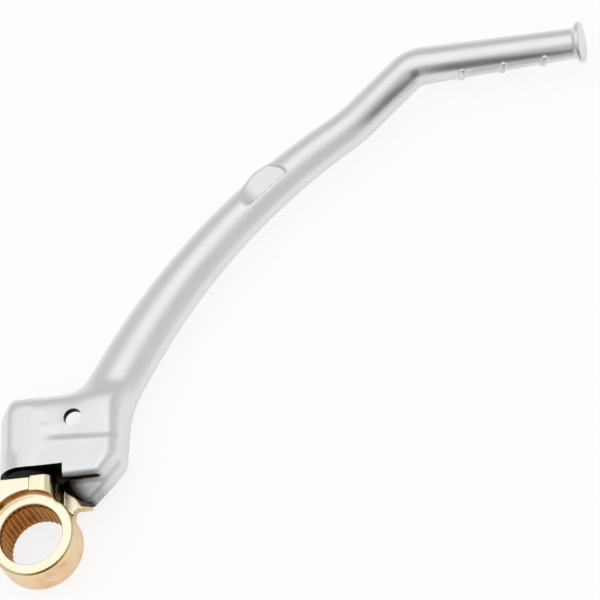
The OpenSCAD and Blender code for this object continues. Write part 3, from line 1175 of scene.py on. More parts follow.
    def pocket(self, space: Field) -> Grid:
        """Measures the distance to the hollow behind the web, which widens towards the back.

        Args:
            space: The block of space.

        Returns:
            Distances on the grid.
        """
        floor = self.web_front - self.web_wall
        left = self.pivot.x + self.pivot.bore_r + self.pocket_left
        right = self.hole[0] + self.pocket_right
        low, high = self.hole[1] - self.pocket_low, self.hole[1] + self.hole_r + self.pocket_high
        drop = np.maximum(floor - space.z, 0)
        side, top = left - self.pocket_draft[0] * drop, high + self.pocket_draft[1] * drop
        across = np.abs(space.x - (right + side) / 2) - (right - side) / 2
        tall = np.abs(space.y - (top + low) / 2) - (top - low) / 2
        return rounded(rounded(across, tall, self.pocket_corner), space.z - floor, self.pocket_edge)

    def seat_place(self) -> Matrix:
        """Gives the flat pad's frame: X along the arm, Y across it, Z at the arm's middle."""
        _, bow_start, bow_end, *_ = self.path.bends
        x, y, h = self.path.walk(bow_start + (bow_end - bow_start) * self.seat_share)
        turn = Matrix.Rotation(math.radians(h), 4, "Z")
        return Matrix.Translation((x, y, self.pivot.z)) @ turn @ Matrix.Translation((0, self.seat_shift, 0))

    def seat(self, space: Field, bar: Grid) -> Grid:
        """Adds the flat round pad to the arm, and cuts the room above it with its curved run-out.

        Args:
            space: The block of space.
            bar: Distances to the arm.

        Returns:
            Distances to the arm with its pad.
        """
        m = self.seat_place().inverted()
        x = m[0][0] * space.x + m[0][1] * space.y + m[0][3]
        y = m[1][0] * space.x + m[1][1] * space.y + m[1][3]
        z = space.z - self.pivot.z
        wall = -self.seat_wall - y
        disc = np.maximum(np.hypot(x, y) - self.seat_r, wall)
        pad = rounded(disc, np.abs(z) - self.seat_h, self.seat_edge)
        ramp = self.seat_h + self.ramp_bow * np.maximum(-x - self.ramp_x, 0) ** 2
        room = np.maximum(x - self.seat_r, np.hypot(np.maximum(x, 0), y) - self.seat_r)
        room = rounded(np.maximum(room, wall), ramp - z, self.ramp_edge)
        return carved(joined(bar, pad, self.seat_blend), room, self.seat_lip)

    def forging(self) -> bpy.types.Object:
        """Makes the forging before it is machined, as one block of space and the part of it near the root."""
        space = Field((-14, 8, -1), (201.5, 176, 21), self.step)
        near = Field((-14, 8, -1), (46, 76, 21), self.step)
        along, aside = self.path.locate(space.x, space.y)
        bar = self.seat(space, self.arm(space, along, aside))
        beside_root = (slice(near.x.size), slice(near.y.size))
        solid = joined(self.root(near), bar[beside_root], self.arm_blend)
        solid = joined(solid, self.flange(near), self.flange_blend)
        solid = carved(solid, self.pocket(near), self.pocket_lip)
        # The fillets stay between the root's front face and the back
        bar[beside_root] = common(solid, self.depth(near, 0.02), 0.3)
        points, faces = space.skin(bar)
        return mesh_of("arm_and_pedal", points, faces)

    def pedal_place(self, s: float) -> Matrix:
        """Gives a frame on the pedal, s from the bend: Z along it, X to the back and Y across it."""
        x, y, h = self.path.walk(self.path.bends[-2] + s)
        turn = Matrix.Rotation(math.radians(h), 4, "Z") @ Matrix.Rotation(math.pi / 2, 4, "Y")
        return Matrix.Translation((x, y, self.pivot.z)) @ turn

    def end_flange(self) -> bpy.types.Object:
        """Makes the round flange at the pedal's tip, which flares out of a plug sunk in the pedal."""
        r, lip, thick = self.pedal_d[1] / 2, self.flange_d / 2, self.flange_end_t
        edge, foot, sunk = self.flange_end_edge, -1.9, -4.0
        flare = lip - r - 0.4
        profile = [(0.0, sunk), (r - 0.35, sunk), (r - 0.02, foot)]
        profile += arc((r + flare, foot), flare, 180, 90)
        profile += arc((lip - edge, 0.3), edge, -60, 0, 6)
        profile += arc((lip - edge, thick - edge), edge, 0, 90, 6)
        profile += [(0.0, thick)]
        return turned("end_flange", profile, self.pedal_place(self.pedal_l - thick), 128)

    def ribs(self, material: bpy.types.Material) -> bpy.types.Object:
        """Makes the pedal's ribs with a node tree: one bead on an arc, repeated along the pedal.

        Args:
            material: The pedal's material.

        Returns:
            The ribs as one plain mesh.
        """
        thigh, tip = self.pedal_d
        slim = (tip - thigh) / self.path.runs[-1][0]
        return from_tree("pedal_ribs", RibTree(material).build(), {
            "Count": self.rib_count,
            "Pitch": self.rib_pitch * MM,
            "Bead radius": self.rib_w / 2 * MM,
            "Arc radius": ((thigh + slim * self.rib_first) / 2 + self.rib_h - self.rib_w / 2) * MM,
            "Slimming": slim * self.rib_pitch / thigh,
            "Start": math.radians(self.rib_start),
            "Sweep": math.radians(self.rib_sweep),
            "Slant": self.rib_slant * MM,
        }, self.pedal_place(self.rib_first))

    def machining(self) -> list[bpy.types.Object]:
        """Makes what is cut out of the forging: the lower face, the bores and the web's hole."""
        p = self.pivot
        left, right, under = p.x - self.root_d, self.notch_x, p.face_y - 2
        below, above = -2.0, 22.0
        room = prism("lower_face", [(left, 0), (right, 0), (right, p.face_y), (left, p.face_y)],
                     below, above, Matrix.Identity(4))
        # The lower face rises towards the front: its wedge is drawn from the side, with Y and Z as its plane
        across = Matrix.Rotation(math.pi / 2, 4, "Y") @ Matrix.Rotation(math.pi / 2, 4, "Z")
        slope, front = self.lower_rise / (self.web_front - p.z), above + 2
        wedge = [(under, p.z), (p.face_y, p.z), (p.face_y + slope * (front - p.z), front), (under, front)]
        rise = prism("lower_face_rise", wedge, left, right, across)
        bore = drill("bore", p.bore_r + 0.01, -2, 40, p.at(p.face_y))
        rim, deep, flare = p.counterbore_r, p.root_y - p.counterbore_y, 1.4
        profile = [(0, 0), (rim, 0), (rim, deep - flare + 1), (rim + flare, deep + 1), (0, deep + 1)]
        mouth = turned("counterbore", profile, p.at(p.counterbore_y))
        cross = drill("cross_hole", p.hole_r, 0, 46.18, p.beside(-20), 64)
        hole = drill("web_hole", self.hole_r, 0, above, Matrix.Translation((*self.hole, -1)), 72)
        return [room, rise, bore, mouth, cross, hole]

    def shade_paint(self, skin: Skin) -> None:
        """Writes how dark the painted shade is, from 0 to 1.

        The painted shade fills the pivot's gap and the web's hole, and thins out over the stop flange.

        Args:
            skin: The lever's mesh.
        """
        p = self.pivot
        x, y, z = skin.spot
        down, front = -skin.lean[1], skin.lean[2]
        spread = x - self.painted_shade_slant * np.maximum(self.painted_shade_heel - y, 0)
        darkening = fade(spread, *self.painted_shade_fade)
        # The flange's sides and back get painted shade near the gap only
        edge = fade(spread, (17, 1), (20, 0.3), (26, 0)) * fade(front, (0.3, 1), (0.8, 0))
        darkening = np.where(front > -0.3, np.maximum(darkening, edge), edge)
        # In front of the flange, painted shade lies on faces that look down towards the knuckle
        under = fade(down, (0.35, 0), (0.75, 0.45), (1.0, 0.88)) * fade(x, (23, 1), (26.5, 0.4), (30, 0))
        darkening += (under - darkening) * fade(z, (14.8, 0), (16.6, 1))
        darkening *= (x > 9) & (y < 32) & (z > 2)
        darkening[(x < 13.4) & (y < 23) & (z < 18)] = 1
        # The milled lower face, the notch and the hole are painted black all over, as deep shade
        u, v, _ = skin.middle
        right, up, out = skin.face_lean
        darkening[(up < -0.97) & (v < p.face_y + self.lower_rise)] = 1
        darkening[(right < -0.99) & (np.abs(u - self.notch_x) < 0.05) & (v < p.face_y + 1)] = 1
        darkening[(out < 0.5) & (np.hypot(u - self.hole[0], v - self.hole[1]) < self.hole_r + 0.02)] = 1
        # Stores the painted shade
        skin.paint("painted_shade", darkening)


# Geometry trees


def group_inputs(
    group: bpy.types.NodeTree, counts: Sequence[str], sizes: Sequence[str]
) -> bpy.types.NodeOutputs:
    """Names a geometry tree's inputs and gives it one geometry output.

    Args:
        group: The tree.
        counts: The names of its whole numbers.
        sizes: The names of its lengths, angles and shares.

    Returns:
        The inputs' sockets.
    """
    for names, kind in ((counts, "NodeSocketInt"), (sizes, "NodeSocketFloat")):
        for name in names:
            group.interface.new_socket(name, in_out="INPUT", socket_type=kind)
    group.interface.new_socket("Geometry", in_out="OUTPUT", socket_type="NodeSocketGeometry")
    return add_node(group, "NodeGroupInput").outputs


def close_group(group: bpy.types.NodeTree, shape: bpy.types.NodeSocket, material: bpy.types.Material) -> None:
    """Ends a geometry tree in real meshes with their material.

    Args:
        group: The tree.
        shape: The geometry that it has made.
        material: The material that it gets.
    """
    real = add_node(group, "GeometryNodeRealizeInstances", links={"Geometry": shape})
    dressed = add_node(group, "GeometryNodeSetMaterial", links={
        "Geometry": real.outputs["Geometry"], "Material": material})
    add_node(group, "NodeGroupOutput", links={"Geometry": dressed.outputs["Geometry"]})


def from_tree(
    name: str, group: bpy.types.NodeTree, sizes: dict[str, float], place: Matrix
) -> bpy.types.Object:
    """Runs a geometry tree and keeps its result as plain mesh.

    Args:
        name: The object's name.
        group: The tree.
        sizes: Values for its named inputs, with lengths in metres.
        place: Where the local frame stands, in millimetres.

    Returns:
        The object.
    """
    piece = new_object(name, bpy.data.meshes.new(name))
    step = piece.modifiers.new(group.name, "NODES")
    step.node_group = group
    for item in group.interface.items_tree:
        if item.item_type == "SOCKET" and item.in_out == "INPUT":
            step[item.identifier] = sizes[item.name]
    settle(piece)
    shape = bmesh.new()
    shape.from_mesh(piece.data)
    bmesh.ops.remove_doubles(shape, verts=shape.verts, dist=1e-7)
    bmesh.ops.recalc_face_normals(shape, faces=shape.faces)
    shape.to_mesh(piece.data)
    shape.free()
    frame = place.copy()
    frame.translation *= MM
    piece.data.transform(frame)
    return piece


@dataclass
class RibTree:
    """Node tree of the pedal's ribs: beads that run out at both ends."""

    material: bpy.types.Material
    run_out: Point = (0.44, 0.45)
    slant_end: float = 0.45

    def build(self) -> bpy.types.NodeTree:
        """Makes the tree."""
        group = bpy.data.node_groups.new("pedal ribs", "GeometryNodeTree")
        given = group_inputs(group, ["Count"], [
            "Pitch", "Bead radius", "Arc radius", "Slimming", "Start", "Sweep", "Slant"])
        bow = add_node(group, "GeometryNodeCurveArc", {"mode": "RADIUS"}, {
            "Resolution": 64, "Radius": given["Arc radius"], "Start Angle": given["Start"],
            "Sweep Angle": given["Sweep"]})
        spot = add_node(group, "GeometryNodeSplineParameter").outputs["Factor"]
        mid = add_node(group, "ShaderNodeMath", {"operation": "SUBTRACT"}, {0: spot, 1: 0.5})
        off = add_node(group, "ShaderNodeMath", {"operation": "ABSOLUTE"}, {0: mid.outputs[0]})
        taper = add_node(group, "ShaderNodeMapRange", {"interpolation_type": "SMOOTHSTEP"}, {
            "Value": off.outputs[0], "From Min": self.run_out[0], "From Max": 0.5,
            "To Min": 1.0, "To Max": self.run_out[1]})
        lead = add_node(group, "ShaderNodeMapRange", {"interpolation_type": "SMOOTHSTEP"}, {
            "Value": spot, "From Min": 0.0, "From Max": self.slant_end,
            "To Min": given["Slant"], "To Max": 0.0})
        drift = add_node(group, "ShaderNodeCombineXYZ", links={"Z": lead.outputs["Result"]})
        slanted = add_node(group, "GeometryNodeSetPosition", links={
            "Geometry": bow.outputs["Curve"], "Offset": drift.outputs[0]})
        bead = add_node(group, "GeometryNodeCurvePrimitiveCircle", {"mode": "RADIUS"}, {
            "Resolution": 20, "Radius": given["Bead radius"]})
        swept = add_node(group, "GeometryNodeCurveToMesh", links={
            "Curve": slanted.outputs["Geometry"], "Profile Curve": bead.outputs["Curve"],
            "Scale": taper.outputs["Result"], "Fill Caps": True})
        gap = add_node(group, "ShaderNodeCombineXYZ", links={"Z": given["Pitch"]})
        line = add_node(group, "GeometryNodeMeshLine", {"mode": "OFFSET"}, {
            "Count": given["Count"], "Offset": gap.outputs[0]})
        index = add_node(group, "GeometryNodeInputIndex")
        less = add_node(group, "ShaderNodeMath", {"operation": "MULTIPLY_ADD"}, {
            0: index.outputs[0], 1: given["Slimming"], 2: 1.0}).outputs[0]
        size = add_node(group, "ShaderNodeCombineXYZ", links={"X": less, "Y": less, "Z": 1.0})
        spread = add_node(group, "GeometryNodeInstanceOnPoints", links={
            "Points": line.outputs["Mesh"], "Instance": swept.outputs["Mesh"], "Scale": size.outputs[0]})
        close_group(group, spread.outputs["Instances"], self.material)
        return group


@dataclass
class SplineTree:
    """Node tree of the spline's grooves: one tapered bar, repeated round the bore."""

    material: bpy.types.Material

    def build(self) -> bpy.types.NodeTree:
        """Makes the tree."""
        group = bpy.data.node_groups.new("spline grooves", "GeometryNodeTree")
        given = group_inputs(group, ["Count"], ["Inner radius", "Depth", "Mouth", "Foot", "Length"])
        end = add_node(group, "ShaderNodeCombineXYZ", links={"Z": given["Length"]})
        line = add_node(group, "GeometryNodeCurvePrimitiveLine", links={"End": end.outputs[0]})
        shape = add_node(group, "GeometryNodeCurvePrimitiveQuadrilateral", {"mode": "TRAPEZOID"}, {
            "Height": given["Depth"], "Bottom Width": given["Mouth"], "Top Width": given["Foot"],
            "Offset": 0.0})
        bar = add_node(group, "GeometryNodeCurveToMesh", links={
            "Curve": line.outputs["Curve"], "Profile Curve": shape.outputs["Curve"], "Fill Caps": True})
        ring = add_node(group, "GeometryNodeMeshCircle", links={
            "Vertices": given["Count"], "Radius": given["Inner radius"]})
        index = add_node(group, "GeometryNodeInputIndex")
        share = add_node(group, "ShaderNodeMath", {"operation": "DIVIDE"}, {
            0: index.outputs[0], 1: given["Count"]})
        angle = add_node(group, "ShaderNodeMath", {"operation": "MULTIPLY_ADD"}, {
            0: share.outputs[0], 1: 2 * math.pi, 2: -math.pi / 2})
        turn = add_node(group, "ShaderNodeCombineXYZ", links={"Z": angle.outputs[0]})
        spread = add_node(group, "GeometryNodeInstanceOnPoints", links={
            "Points": ring.outputs["Mesh"], "Instance": bar.outputs["Mesh"], "Rotation": turn.outputs[0]})
        close_group(group, spread.outputs["Instances"], self.material)
        return group


@dataclass
class SpringTree:
    """Node tree of the detent's coil spring."""

    material: bpy.types.Material

    def build(self) -> bpy.types.NodeTree:
        """Makes the tree."""
        group = bpy.data.node_groups.new("detent spring", "GeometryNodeTree")
        given = group_inputs(group, [], ["Turns", "Coil radius", "Wire radius", "Length"])
        coil = add_node(group, "GeometryNodeCurveSpiral", links={
            "Resolution": 32, "Rotations": given["Turns"], "Start Radius": given["Coil radius"],
            "End Radius": given["Coil radius"], "Height": given["Length"]})
        wire = add_node(group, "GeometryNodeCurvePrimitiveCircle", {"mode": "RADIUS"}, {
            "Resolution": 12, "Radius": given["Wire radius"]})
        swept = add_node(group, "GeometryNodeCurveToMesh", links={
            "Curve": coil.outputs["Curve"], "Profile Curve": wire.outputs["Curve"], "Fill Caps": True})
        close_group(group, swept.outputs["Mesh"], self.material)
        return group


# Knuckle


@dataclass
class Knuckle:
    """The splined steel knuckle with its journal, in millimetres."""

    pivot: Pivot
    finish: PassivatedZinc
    step: float = 0.27

    # Boss with its splined bore
    boss_r: float = 15.5
    boss_l: float = 16.0
    boss_draft: float = 0.3
    front_chamfer: float = 0.6
    back_chamfer: float = 1.8
    spline_r: float = 11.0
    spline_count: int = 36
    spline_h: float = 0.35
    groove_share: Point = (0.82, 0.36)
    lead_r: float = 11.45
    lead_l: float = 1.8

    # Block that carries the journal, with its milled step and its round nose
    nose_y: float = 21.5
    left: float = 10.0
    right: float = 10.9
    foot_r: float = 2.0
    pad_reach: float = 9.3
    pad_step: float = 0.7
    pad_step_x: float = 2.3
    nose_r: float = 4.2
    recess_r: float = 15.6
    recess_fillet: float = 1.3

    # Stop tab
    tab_angle: float = 37.0
    tab_reach: float = 18.6
    tab_y: float = 12.3
    tab_z: float = 2.5
    tab_t: float = 3.5
    tab_side: float = 11.0
    tab_inner_r: float = 1.2
    tab_outer_r: float = 0.9

    # Places where the detent ball rests, folded and open
    dimple_angles: Point = (0.0, 60.0)
    dimple_r: float = 3.55
    dimple_depth: float = 0.53

    # Painted shade at the recess's corners, and beside the stop flange with its round heel
    spots: tuple[tuple[float, float, float], ...] = ((9.9, 12.5, 15.4), (-11.4, 12.1, 16.4))
    spot_r: float = 1.3
    gap_heel: Point = (20.4, 20.0)
    gap_heel_r: float = 8.8
    gap_start: float = 17.8

    def build(self) -> bpy.types.Object:
        """Makes the knuckle's mesh and dresses it."""
        p = self.pivot
        piece = self.forging()
        material = self.finish.build()
        deep, top = p.shoulder_y - p.pad_y, self.boss_l + 0.1
        seat = turned("seal_seat", [
            (p.washer_r, -0.01), (p.pocket_r, -0.01), (p.pocket_r, 4), (0, 4), (0, deep), (p.washer_r, deep)],
            p.at(p.pad_y))
        combine(piece, [seat], Way.CUT)
        combine(piece, [self.journal()], Way.ADD)
        here = Matrix.Identity(4)
        bore = drill("bore", self.spline_r, -1, self.boss_l + 2, here, 144)
        lead = turned("lead_in", [
            (0, self.boss_l - self.lead_l), (self.lead_r, self.boss_l - self.lead_l),
            (self.lead_r, self.boss_l - 0.15), (self.lead_r + 0.25, top), (0, top)], here, 144)
        back = turned("back_chamfer", [
            (0, -0.1), (self.lead_r + 0.4, -0.1), (self.lead_r - 0.5, 0.8), (0, 0.8)], here, 144)
        combine(piece, [bore, self.grooves(material), lead, back, *self.dimples()], Way.CUT)
        self.tint(Skin(piece.data))
        return finish_piece(piece, "knuckle", "knuckle", material, Edges.MACHINED)

    def forging(self) -> bpy.types.Object:
        """Makes the knuckle's forged and milled body."""
        space = Field((-17, -17, -1), (20.5, 23, 20.5), self.step)
        away = np.hypot(space.x, space.y)
        solid = joined(self.boss(space, away), self.block(space, away), 0.35)
        solid = joined(solid, self.tab(space), 0.8)
        points, faces = space.skin(solid)
        return mesh_of("splined_knuckle", points, faces)

    def boss(self, space: Field, away: Grid) -> Grid:
        """Measures the distance to the boss, drafted towards the back and chamfered at both ends.

        Args:
            space: The block of space.
            away: Distances from the spline's axis.

        Returns:
            Distances on the grid.
        """
        side = away - self.boss_r + self.boss_draft * (1 - space.z / self.boss_l)
        boss = common(side, np.maximum(space.z - self.boss_l, -space.z), 0.3)
        back_r = self.boss_r - self.boss_draft - self.back_chamfer
        boss = common(boss, (away - space.z - back_r) / math.sqrt(2), 0.6)
        front_r = self.boss_r + self.boss_l - self.front_chamfer
        return common(boss, (away + space.z - front_r) / math.sqrt(2), 0.4)

    def block(self, space: Field, away: Grid) -> Grid:
        """Measures the distance to the block, with the round recess that clears the boss's washer.

        Args:
            space: The block of space.
            away: Distances from the spline's axis.

        Returns:
            Distances on the grid.
        """
        p = self.pivot
        low, high = self.front_chamfer - p.z, self.pad_reach - self.pad_step
        section = [
            (-self.left, low), *arc((self.right - self.foot_r, low + self.foot_r), self.foot_r, -90, 0, 6),
            *arc((self.right - self.nose_r, high - self.nose_r), self.nose_r, 0, 90, 12),
            (self.pad_step_x, high), (self.pad_step_x, self.pad_reach), (-self.left, self.pad_reach)]
        across = outline_distance(section, space.x - p.x, space.z - p.z)
        block = common(across, np.maximum(space.y - self.nose_y, -space.y), 0.6)
        beside_pad = np.maximum(p.pad_y - space.y, space.x - p.x - self.pad_step_x)
        block = carved(block, beside_pad, 0.5)
        return carved(block, rounded(away - self.recess_r, self.boss_l - space.z, self.recess_fillet), 0.4)

    def tab(self, space: Field) -> Grid:
        """Measures the distance to the stop tab, which runs from the boss up beside the lever's notch.

        Args:
            space: The block of space.

        Returns:
            Distances on the grid.
        """
        foot = polar(self.boss_r, self.tab_angle)
        inner, outer = self.tab_inner_r, self.tab_outer_r
        outline = [
            (0, 12.5), foot, *arc((foot[0] + 1.6, self.tab_y - inner), inner, 180, 90, 4),
            *arc((self.tab_reach - outer, self.tab_y + outer), outer, -90, 50, 6),
            (self.tab_side, 19.6), (self.tab_side - 0.3, 23.1), (6.8, 23.1), (0, 18.5)]
        deep = np.abs(space.z - self.tab_z - self.tab_t / 2) - self.tab_t / 2
        return rounded(outline_distance(outline, space.x, space.y), deep, 0.4)

    def journal(self) -> bpy.types.Object:
        """Makes the turned journal with its circlip groove and chamfered end."""
        p = self.pivot
        low = p.circlip_y - p.shoulder_y
        high = low + p.circlip_t + 0.1
        top = p.journal_y - p.shoulder_y
        profile = [
            (0, -4), (p.washer_r, -4), (p.washer_r, -0.2), (p.washer_r - 0.2, 0), (p.journal_r + 0.4, 0),
            (p.journal_r, 0.2), (p.journal_r, low), (p.groove_r, low), (p.groove_r, high),
            (p.journal_r, high), (p.journal_r, top - 0.6), (p.journal_r - 0.6, top), (1.6, top),
            (0, top - 1.2)]
        return turned("journal", profile, p.at(p.shoulder_y))

    def grooves(self, material: bpy.types.Material) -> bpy.types.Object:
        """Makes the spline's grooves as one cutting tool.

        Args:
            material: The knuckle's material.

        Returns:
            The tool.
        """
        pitch = 2 * math.pi * self.spline_r / self.spline_count
        sunk = 0.3
        depth = self.spline_h + sunk
        mouth, foot = self.groove_share
        return from_tree("spline_grooves", SplineTree(material).build(), {
            "Count": self.spline_count,
            "Inner radius": (self.spline_r - sunk + depth / 2) * MM,
            "Depth": depth * MM,
            "Mouth": pitch * mouth * MM,
            "Foot": pitch * foot * MM,
            "Length": (self.boss_l + 2) * MM,
        }, Matrix.Translation((0, 0, -1)))

    def dimples(self) -> list[bpy.types.Object]:
        """Makes the two dimples that the detent ball drops into."""
        p = self.pivot
        tools = []
        for name, angle in zip(("dimple_folded", "dimple_open"), self.dimple_angles):
            x, z = polar(p.ball_x - self.dimple_depth, angle, (p.x, p.z))
            place = Matrix.Translation((x, p.detent_y, z))
            tools.append(turned(name, arc((0, 0), self.dimple_r, -90, 90, 18), place, 48))
        return tools

    def tint(self, skin: Skin) -> None:
        """Writes how deep the plating's colour is, and how dark the painted shade is, each from 0 to 1.

        The colour is shallow on the milled faces that look to the front, and deep on side faces and in
        hollows: partly the plating's own colour, partly painted shade.

        Args:
            skin: The knuckle's mesh.
        """
        x, y, z = skin.middle
        up = skin.face_lean[2]
        away, turn = np.hypot(x, y), np.degrees(np.arctan2(y, x))
        depth = fade(up, (-1, 0.5), (0.0, 0.5), (0.5, 0.36), (0.97, 0.04))
        # The nose beside the milled step
        depth[(z > 18.2) & (x > self.pivot.x + self.pad_step_x)] += 0.12
        # The round recess's wall, its colour deepened partly by painted shade
        recess = (away > 13.8) & (away < self.recess_r + 0.3) & (z > self.boss_l + 0.03) & (up < 0.97)
        depth[recess] = fade(up[recess], (0, 0.74), (0.9, 0.58))
        # The bore, darker between its teeth: painted shade over the plating's colour
        bore = (away < self.lead_r + 0.1) & (z < self.boss_l - 0.3)
        depth[bore] = np.where(away[bore] > self.spline_r + 0.2, 0.97, 0.87)
        # The ground journal
        depth[y > self.pivot.shoulder_y - 0.1] = 0.25
        # Stores the plating's colour depth, partly painted shade
        skin.paint("plating_and_shade", depth)

        # Painted shade on the nose's right side, darker towards the gap
        nose = (y > 12) & (z > 6.2) & (x > 4)
        darkening = fade(skin.lean[0], (0.6, 0), (0.85, 0.32), (1.0, 0.48)) * nose * fade(y, (14, 0.3), (19, 1))
        # Painted shade in round spots at the recess's corners
        for spot in self.spots:
            off = np.linalg.norm(skin.spot - np.array(spot)[:, None], axis=0)
            darkening = np.maximum(darkening, np.exp(-((off / self.spot_r) ** 2)))
        # The painted shade is darkest beside the stop flange
        heel_x, heel_y = self.gap_heel
        gap = np.hypot(np.maximum(heel_x - x, 0), np.maximum(heel_y - y, 0)) - self.gap_heel_r
        gap -= y - self.gap_start
        darkening = np.maximum(darkening, fade(gap, (0.6, 1), (1.3, 0)) * ((x > 8.6) & (y > 10)))
        # The boss's front chamfer gets painted shade, most at the lower right
        rim = (away > self.boss_r - 1.1) & (z > self.boss_l - 1.1) & (up > 0.3) & (up < 0.96) & (y < 5)
        darkening = np.maximum(darkening, (0.12 + 0.4 * np.exp(-(((turn + 65) / 25) ** 2))) * rim)
        # Stores the painted shade
        skin.paint("painted_shade", darkening)


# Small parts of the pivot and the detent


@dataclass
class PivotHardware:
    """Bushes, washers, seal, circlip, ball, spring and plug, in millimetres."""

    pivot: Pivot
    play: float = 0.05
    lower_bush_l: float = 11.25
    upper_bush_l: float = 9.5
    bush_chamfer: float = 0.3
    washer_gap: float = 0.06
    washer_chamfer: float = 0.12
    circlip_gap: float = 50.0
    circlip_edge: float = 0.12
    eye_r: float = 0.42
    eye_in: float = 0.85
    ball_r: float = 3.5
    spring_turns: float = 6.0
    spring_r: float = 2.75
    spring_l: float = 12.1
    spring_inset: float = 0.65
    wire_r: float = 0.44
    plug_t: float = 1.6
    plug_x: float = -9.8

    def build(self) -> None:
        """Makes and dresses every small part."""
        p = self.pivot
        bronze, steel = BEARING_BRONZE.build(), BRIGHT_STEEL.build()
        wire, rubber = SPRING_STEEL.build(), MOULDED_RUBBER.build()
        lower = self.bush("lower_bush_turned", self.lower_bush_l, p.face_y + self.play)
        combine(lower, [drill("ball_hole", p.hole_r, 0, 15, p.beside(0), 64)], Way.CUT)
        finish_piece(lower, "lower_bush", "lever", bronze, Edges.MACHINED)
        upper = self.bush("upper_bush_turned", self.upper_bush_l, p.counterbore_y - self.upper_bush_l - 0.01)
        finish_piece(upper, "upper_bush", "lever", bronze, Edges.MACHINED)
        thrust = self.washer("thrust_washer_ground", p.shoulder_y + self.play)
        finish_piece(thrust, "thrust_washer", "knuckle", steel, Edges.MACHINED)
        top = self.washer("top_washer_ground", p.counterbore_y + self.play)
        finish_piece(top, "top_washer", "knuckle", steel, Edges.MACHINED)
        finish_piece(self.seal(), "dust_seal", "knuckle", rubber, Edges.FORGED)
        finish_piece(self.circlip(), "circlip", "knuckle", wire, Edges.MACHINED)
        finish_piece(self.ball(), "detent_ball", "detent", steel, Edges.FORGED)
        finish_piece(self.spring(wire), "detent_spring", "lever", wire, Edges.FORGED)
        finish_piece(self.plug(), "access_plug", "lever", steel, Edges.MACHINED)

    def bush(self, name: str, length: float, y: float) -> bpy.types.Object:
        """Makes a bush that is pressed into the lever's bore, from y upwards."""
        p = self.pivot
        return self.ring(name, p.bore_r, p.journal_r + p.running_gap, length, self.bush_chamfer, y)

    def washer(self, name: str, y: float) -> bpy.types.Object:
        """Makes a washer that turns on the journal, from y upwards."""
        p = self.pivot
        return self.ring(name, p.washer_r, p.journal_r + self.washer_gap, p.washer_t, self.washer_chamfer, y)

    def ring(
        self, name: str, outer: float, inner: float, height: float, chamfer: float, y: float
    ) -> bpy.types.Object:
        """Makes a turned ring on the fold axis.

        Args:
            name: The ring's name.
            outer: Its outer radius.
            inner: Its inner radius.
            height: Its height along the axis.
            chamfer: Width of its chamfers.
            y: Where it starts along the axis.

        Returns:
            The ring.
        """
        c = chamfer
        profile = [
            (inner + c, 0), (outer - c, 0), (outer, c), (outer, height - c), (outer - c, height),
            (inner + c, height), (inner, height - c), (inner, c)]
        return turned(name, profile, self.pivot.at(y))

    def seal(self) -> bpy.types.Object:
        """Makes the rubber seal, with rounded edges and a shallow groove round it."""
        p = self.pivot
        r, s, tall = p.seal_in, p.seal_out, p.face_y - p.pad_y - 2 * self.play
        groove = s - 0.18
        profile = [
            (r, 0.15), (r + 0.15, 0), (s - 0.2, 0), (s, 0.2), (s, tall * 0.35), (groove, tall * 0.45),
            (groove, tall * 0.55), (s, tall * 0.65), (s, tall - 0.25), (s - 0.25, tall), (r + 0.15, tall),
            (r, tall - 0.15)]
        return turned("dust_seal_moulded", profile, p.at(p.pad_y + self.play))

    def circlip(self) -> bpy.types.Object:
        """Makes the circlip: a ring that is open on one side, with an eye at each end."""
        p = self.pivot
        outer, inner = p.washer_r - 0.2, p.groove_r + 0.01
        end, eye_angle = self.circlip_gap / 2 + 3, self.circlip_gap / 2 + 9
        outline = [
            *arc((0, 0), inner, end, 360 - end, 60), polar(outer, -end),
            *arc((0, 0), outer, 360 - eye_angle, eye_angle, 60), polar(outer, end)]
        clip = prism("circlip_stamped", outline, 0, p.circlip_t, p.at(p.circlip_y + self.play))
        bevel = clip.modifiers.new("rounded edges", "BEVEL")
        bevel.width = self.circlip_edge * MM
        bevel.segments = 2
        bevel.angle_limit = math.radians(50)
        settle(clip)
        for side in (-1, 1):
            x, y = polar(outer - self.eye_in, side * eye_angle)
            place = p.at(p.circlip_y) @ Matrix.Translation((x, y, 0))
            combine(clip, [drill("eye", self.eye_r, -1, 3, place, 24)], Way.CUT)
        return clip

    def ball(self) -> bpy.types.Object:
        """Makes the detent ball."""
        profile = arc((0, 0), self.ball_r, -90, 90, 30)
        return turned("detent_ball_ground", profile, self.pivot.beside(self.pivot.ball_x), 60)

    def spring(self, material: bpy.types.Material) -> bpy.types.Object:
        """Makes the detent spring with a node tree.

        Args:
            material: The spring's material.

        Returns:
            The spring.
        """
        return from_tree("detent_spring_wound", SpringTree(material).build(), {
            "Turns": self.spring_turns, "Coil radius": self.spring_r * MM, "Wire radius": self.wire_r * MM,
            "Length": self.spring_l * MM,
        }, self.pivot.beside(self.pivot.spring_x + self.spring_inset))

    def plug(self) -> bpy.types.Object:
        """Makes the pressed plug that closes the cross hole."""
        r, tall = self.pivot.hole_r - 0.01, self.plug_t
        profile = [(0, 0.25), (r - 0.9, 0.25), (r - 0.6, 0), (r - 0.15, 0), (r, 0.15), (r, tall), (0, tall)]
        return turned("access_plug_pressed", profile, self.pivot.beside(self.plug_x), 64)


# Studio


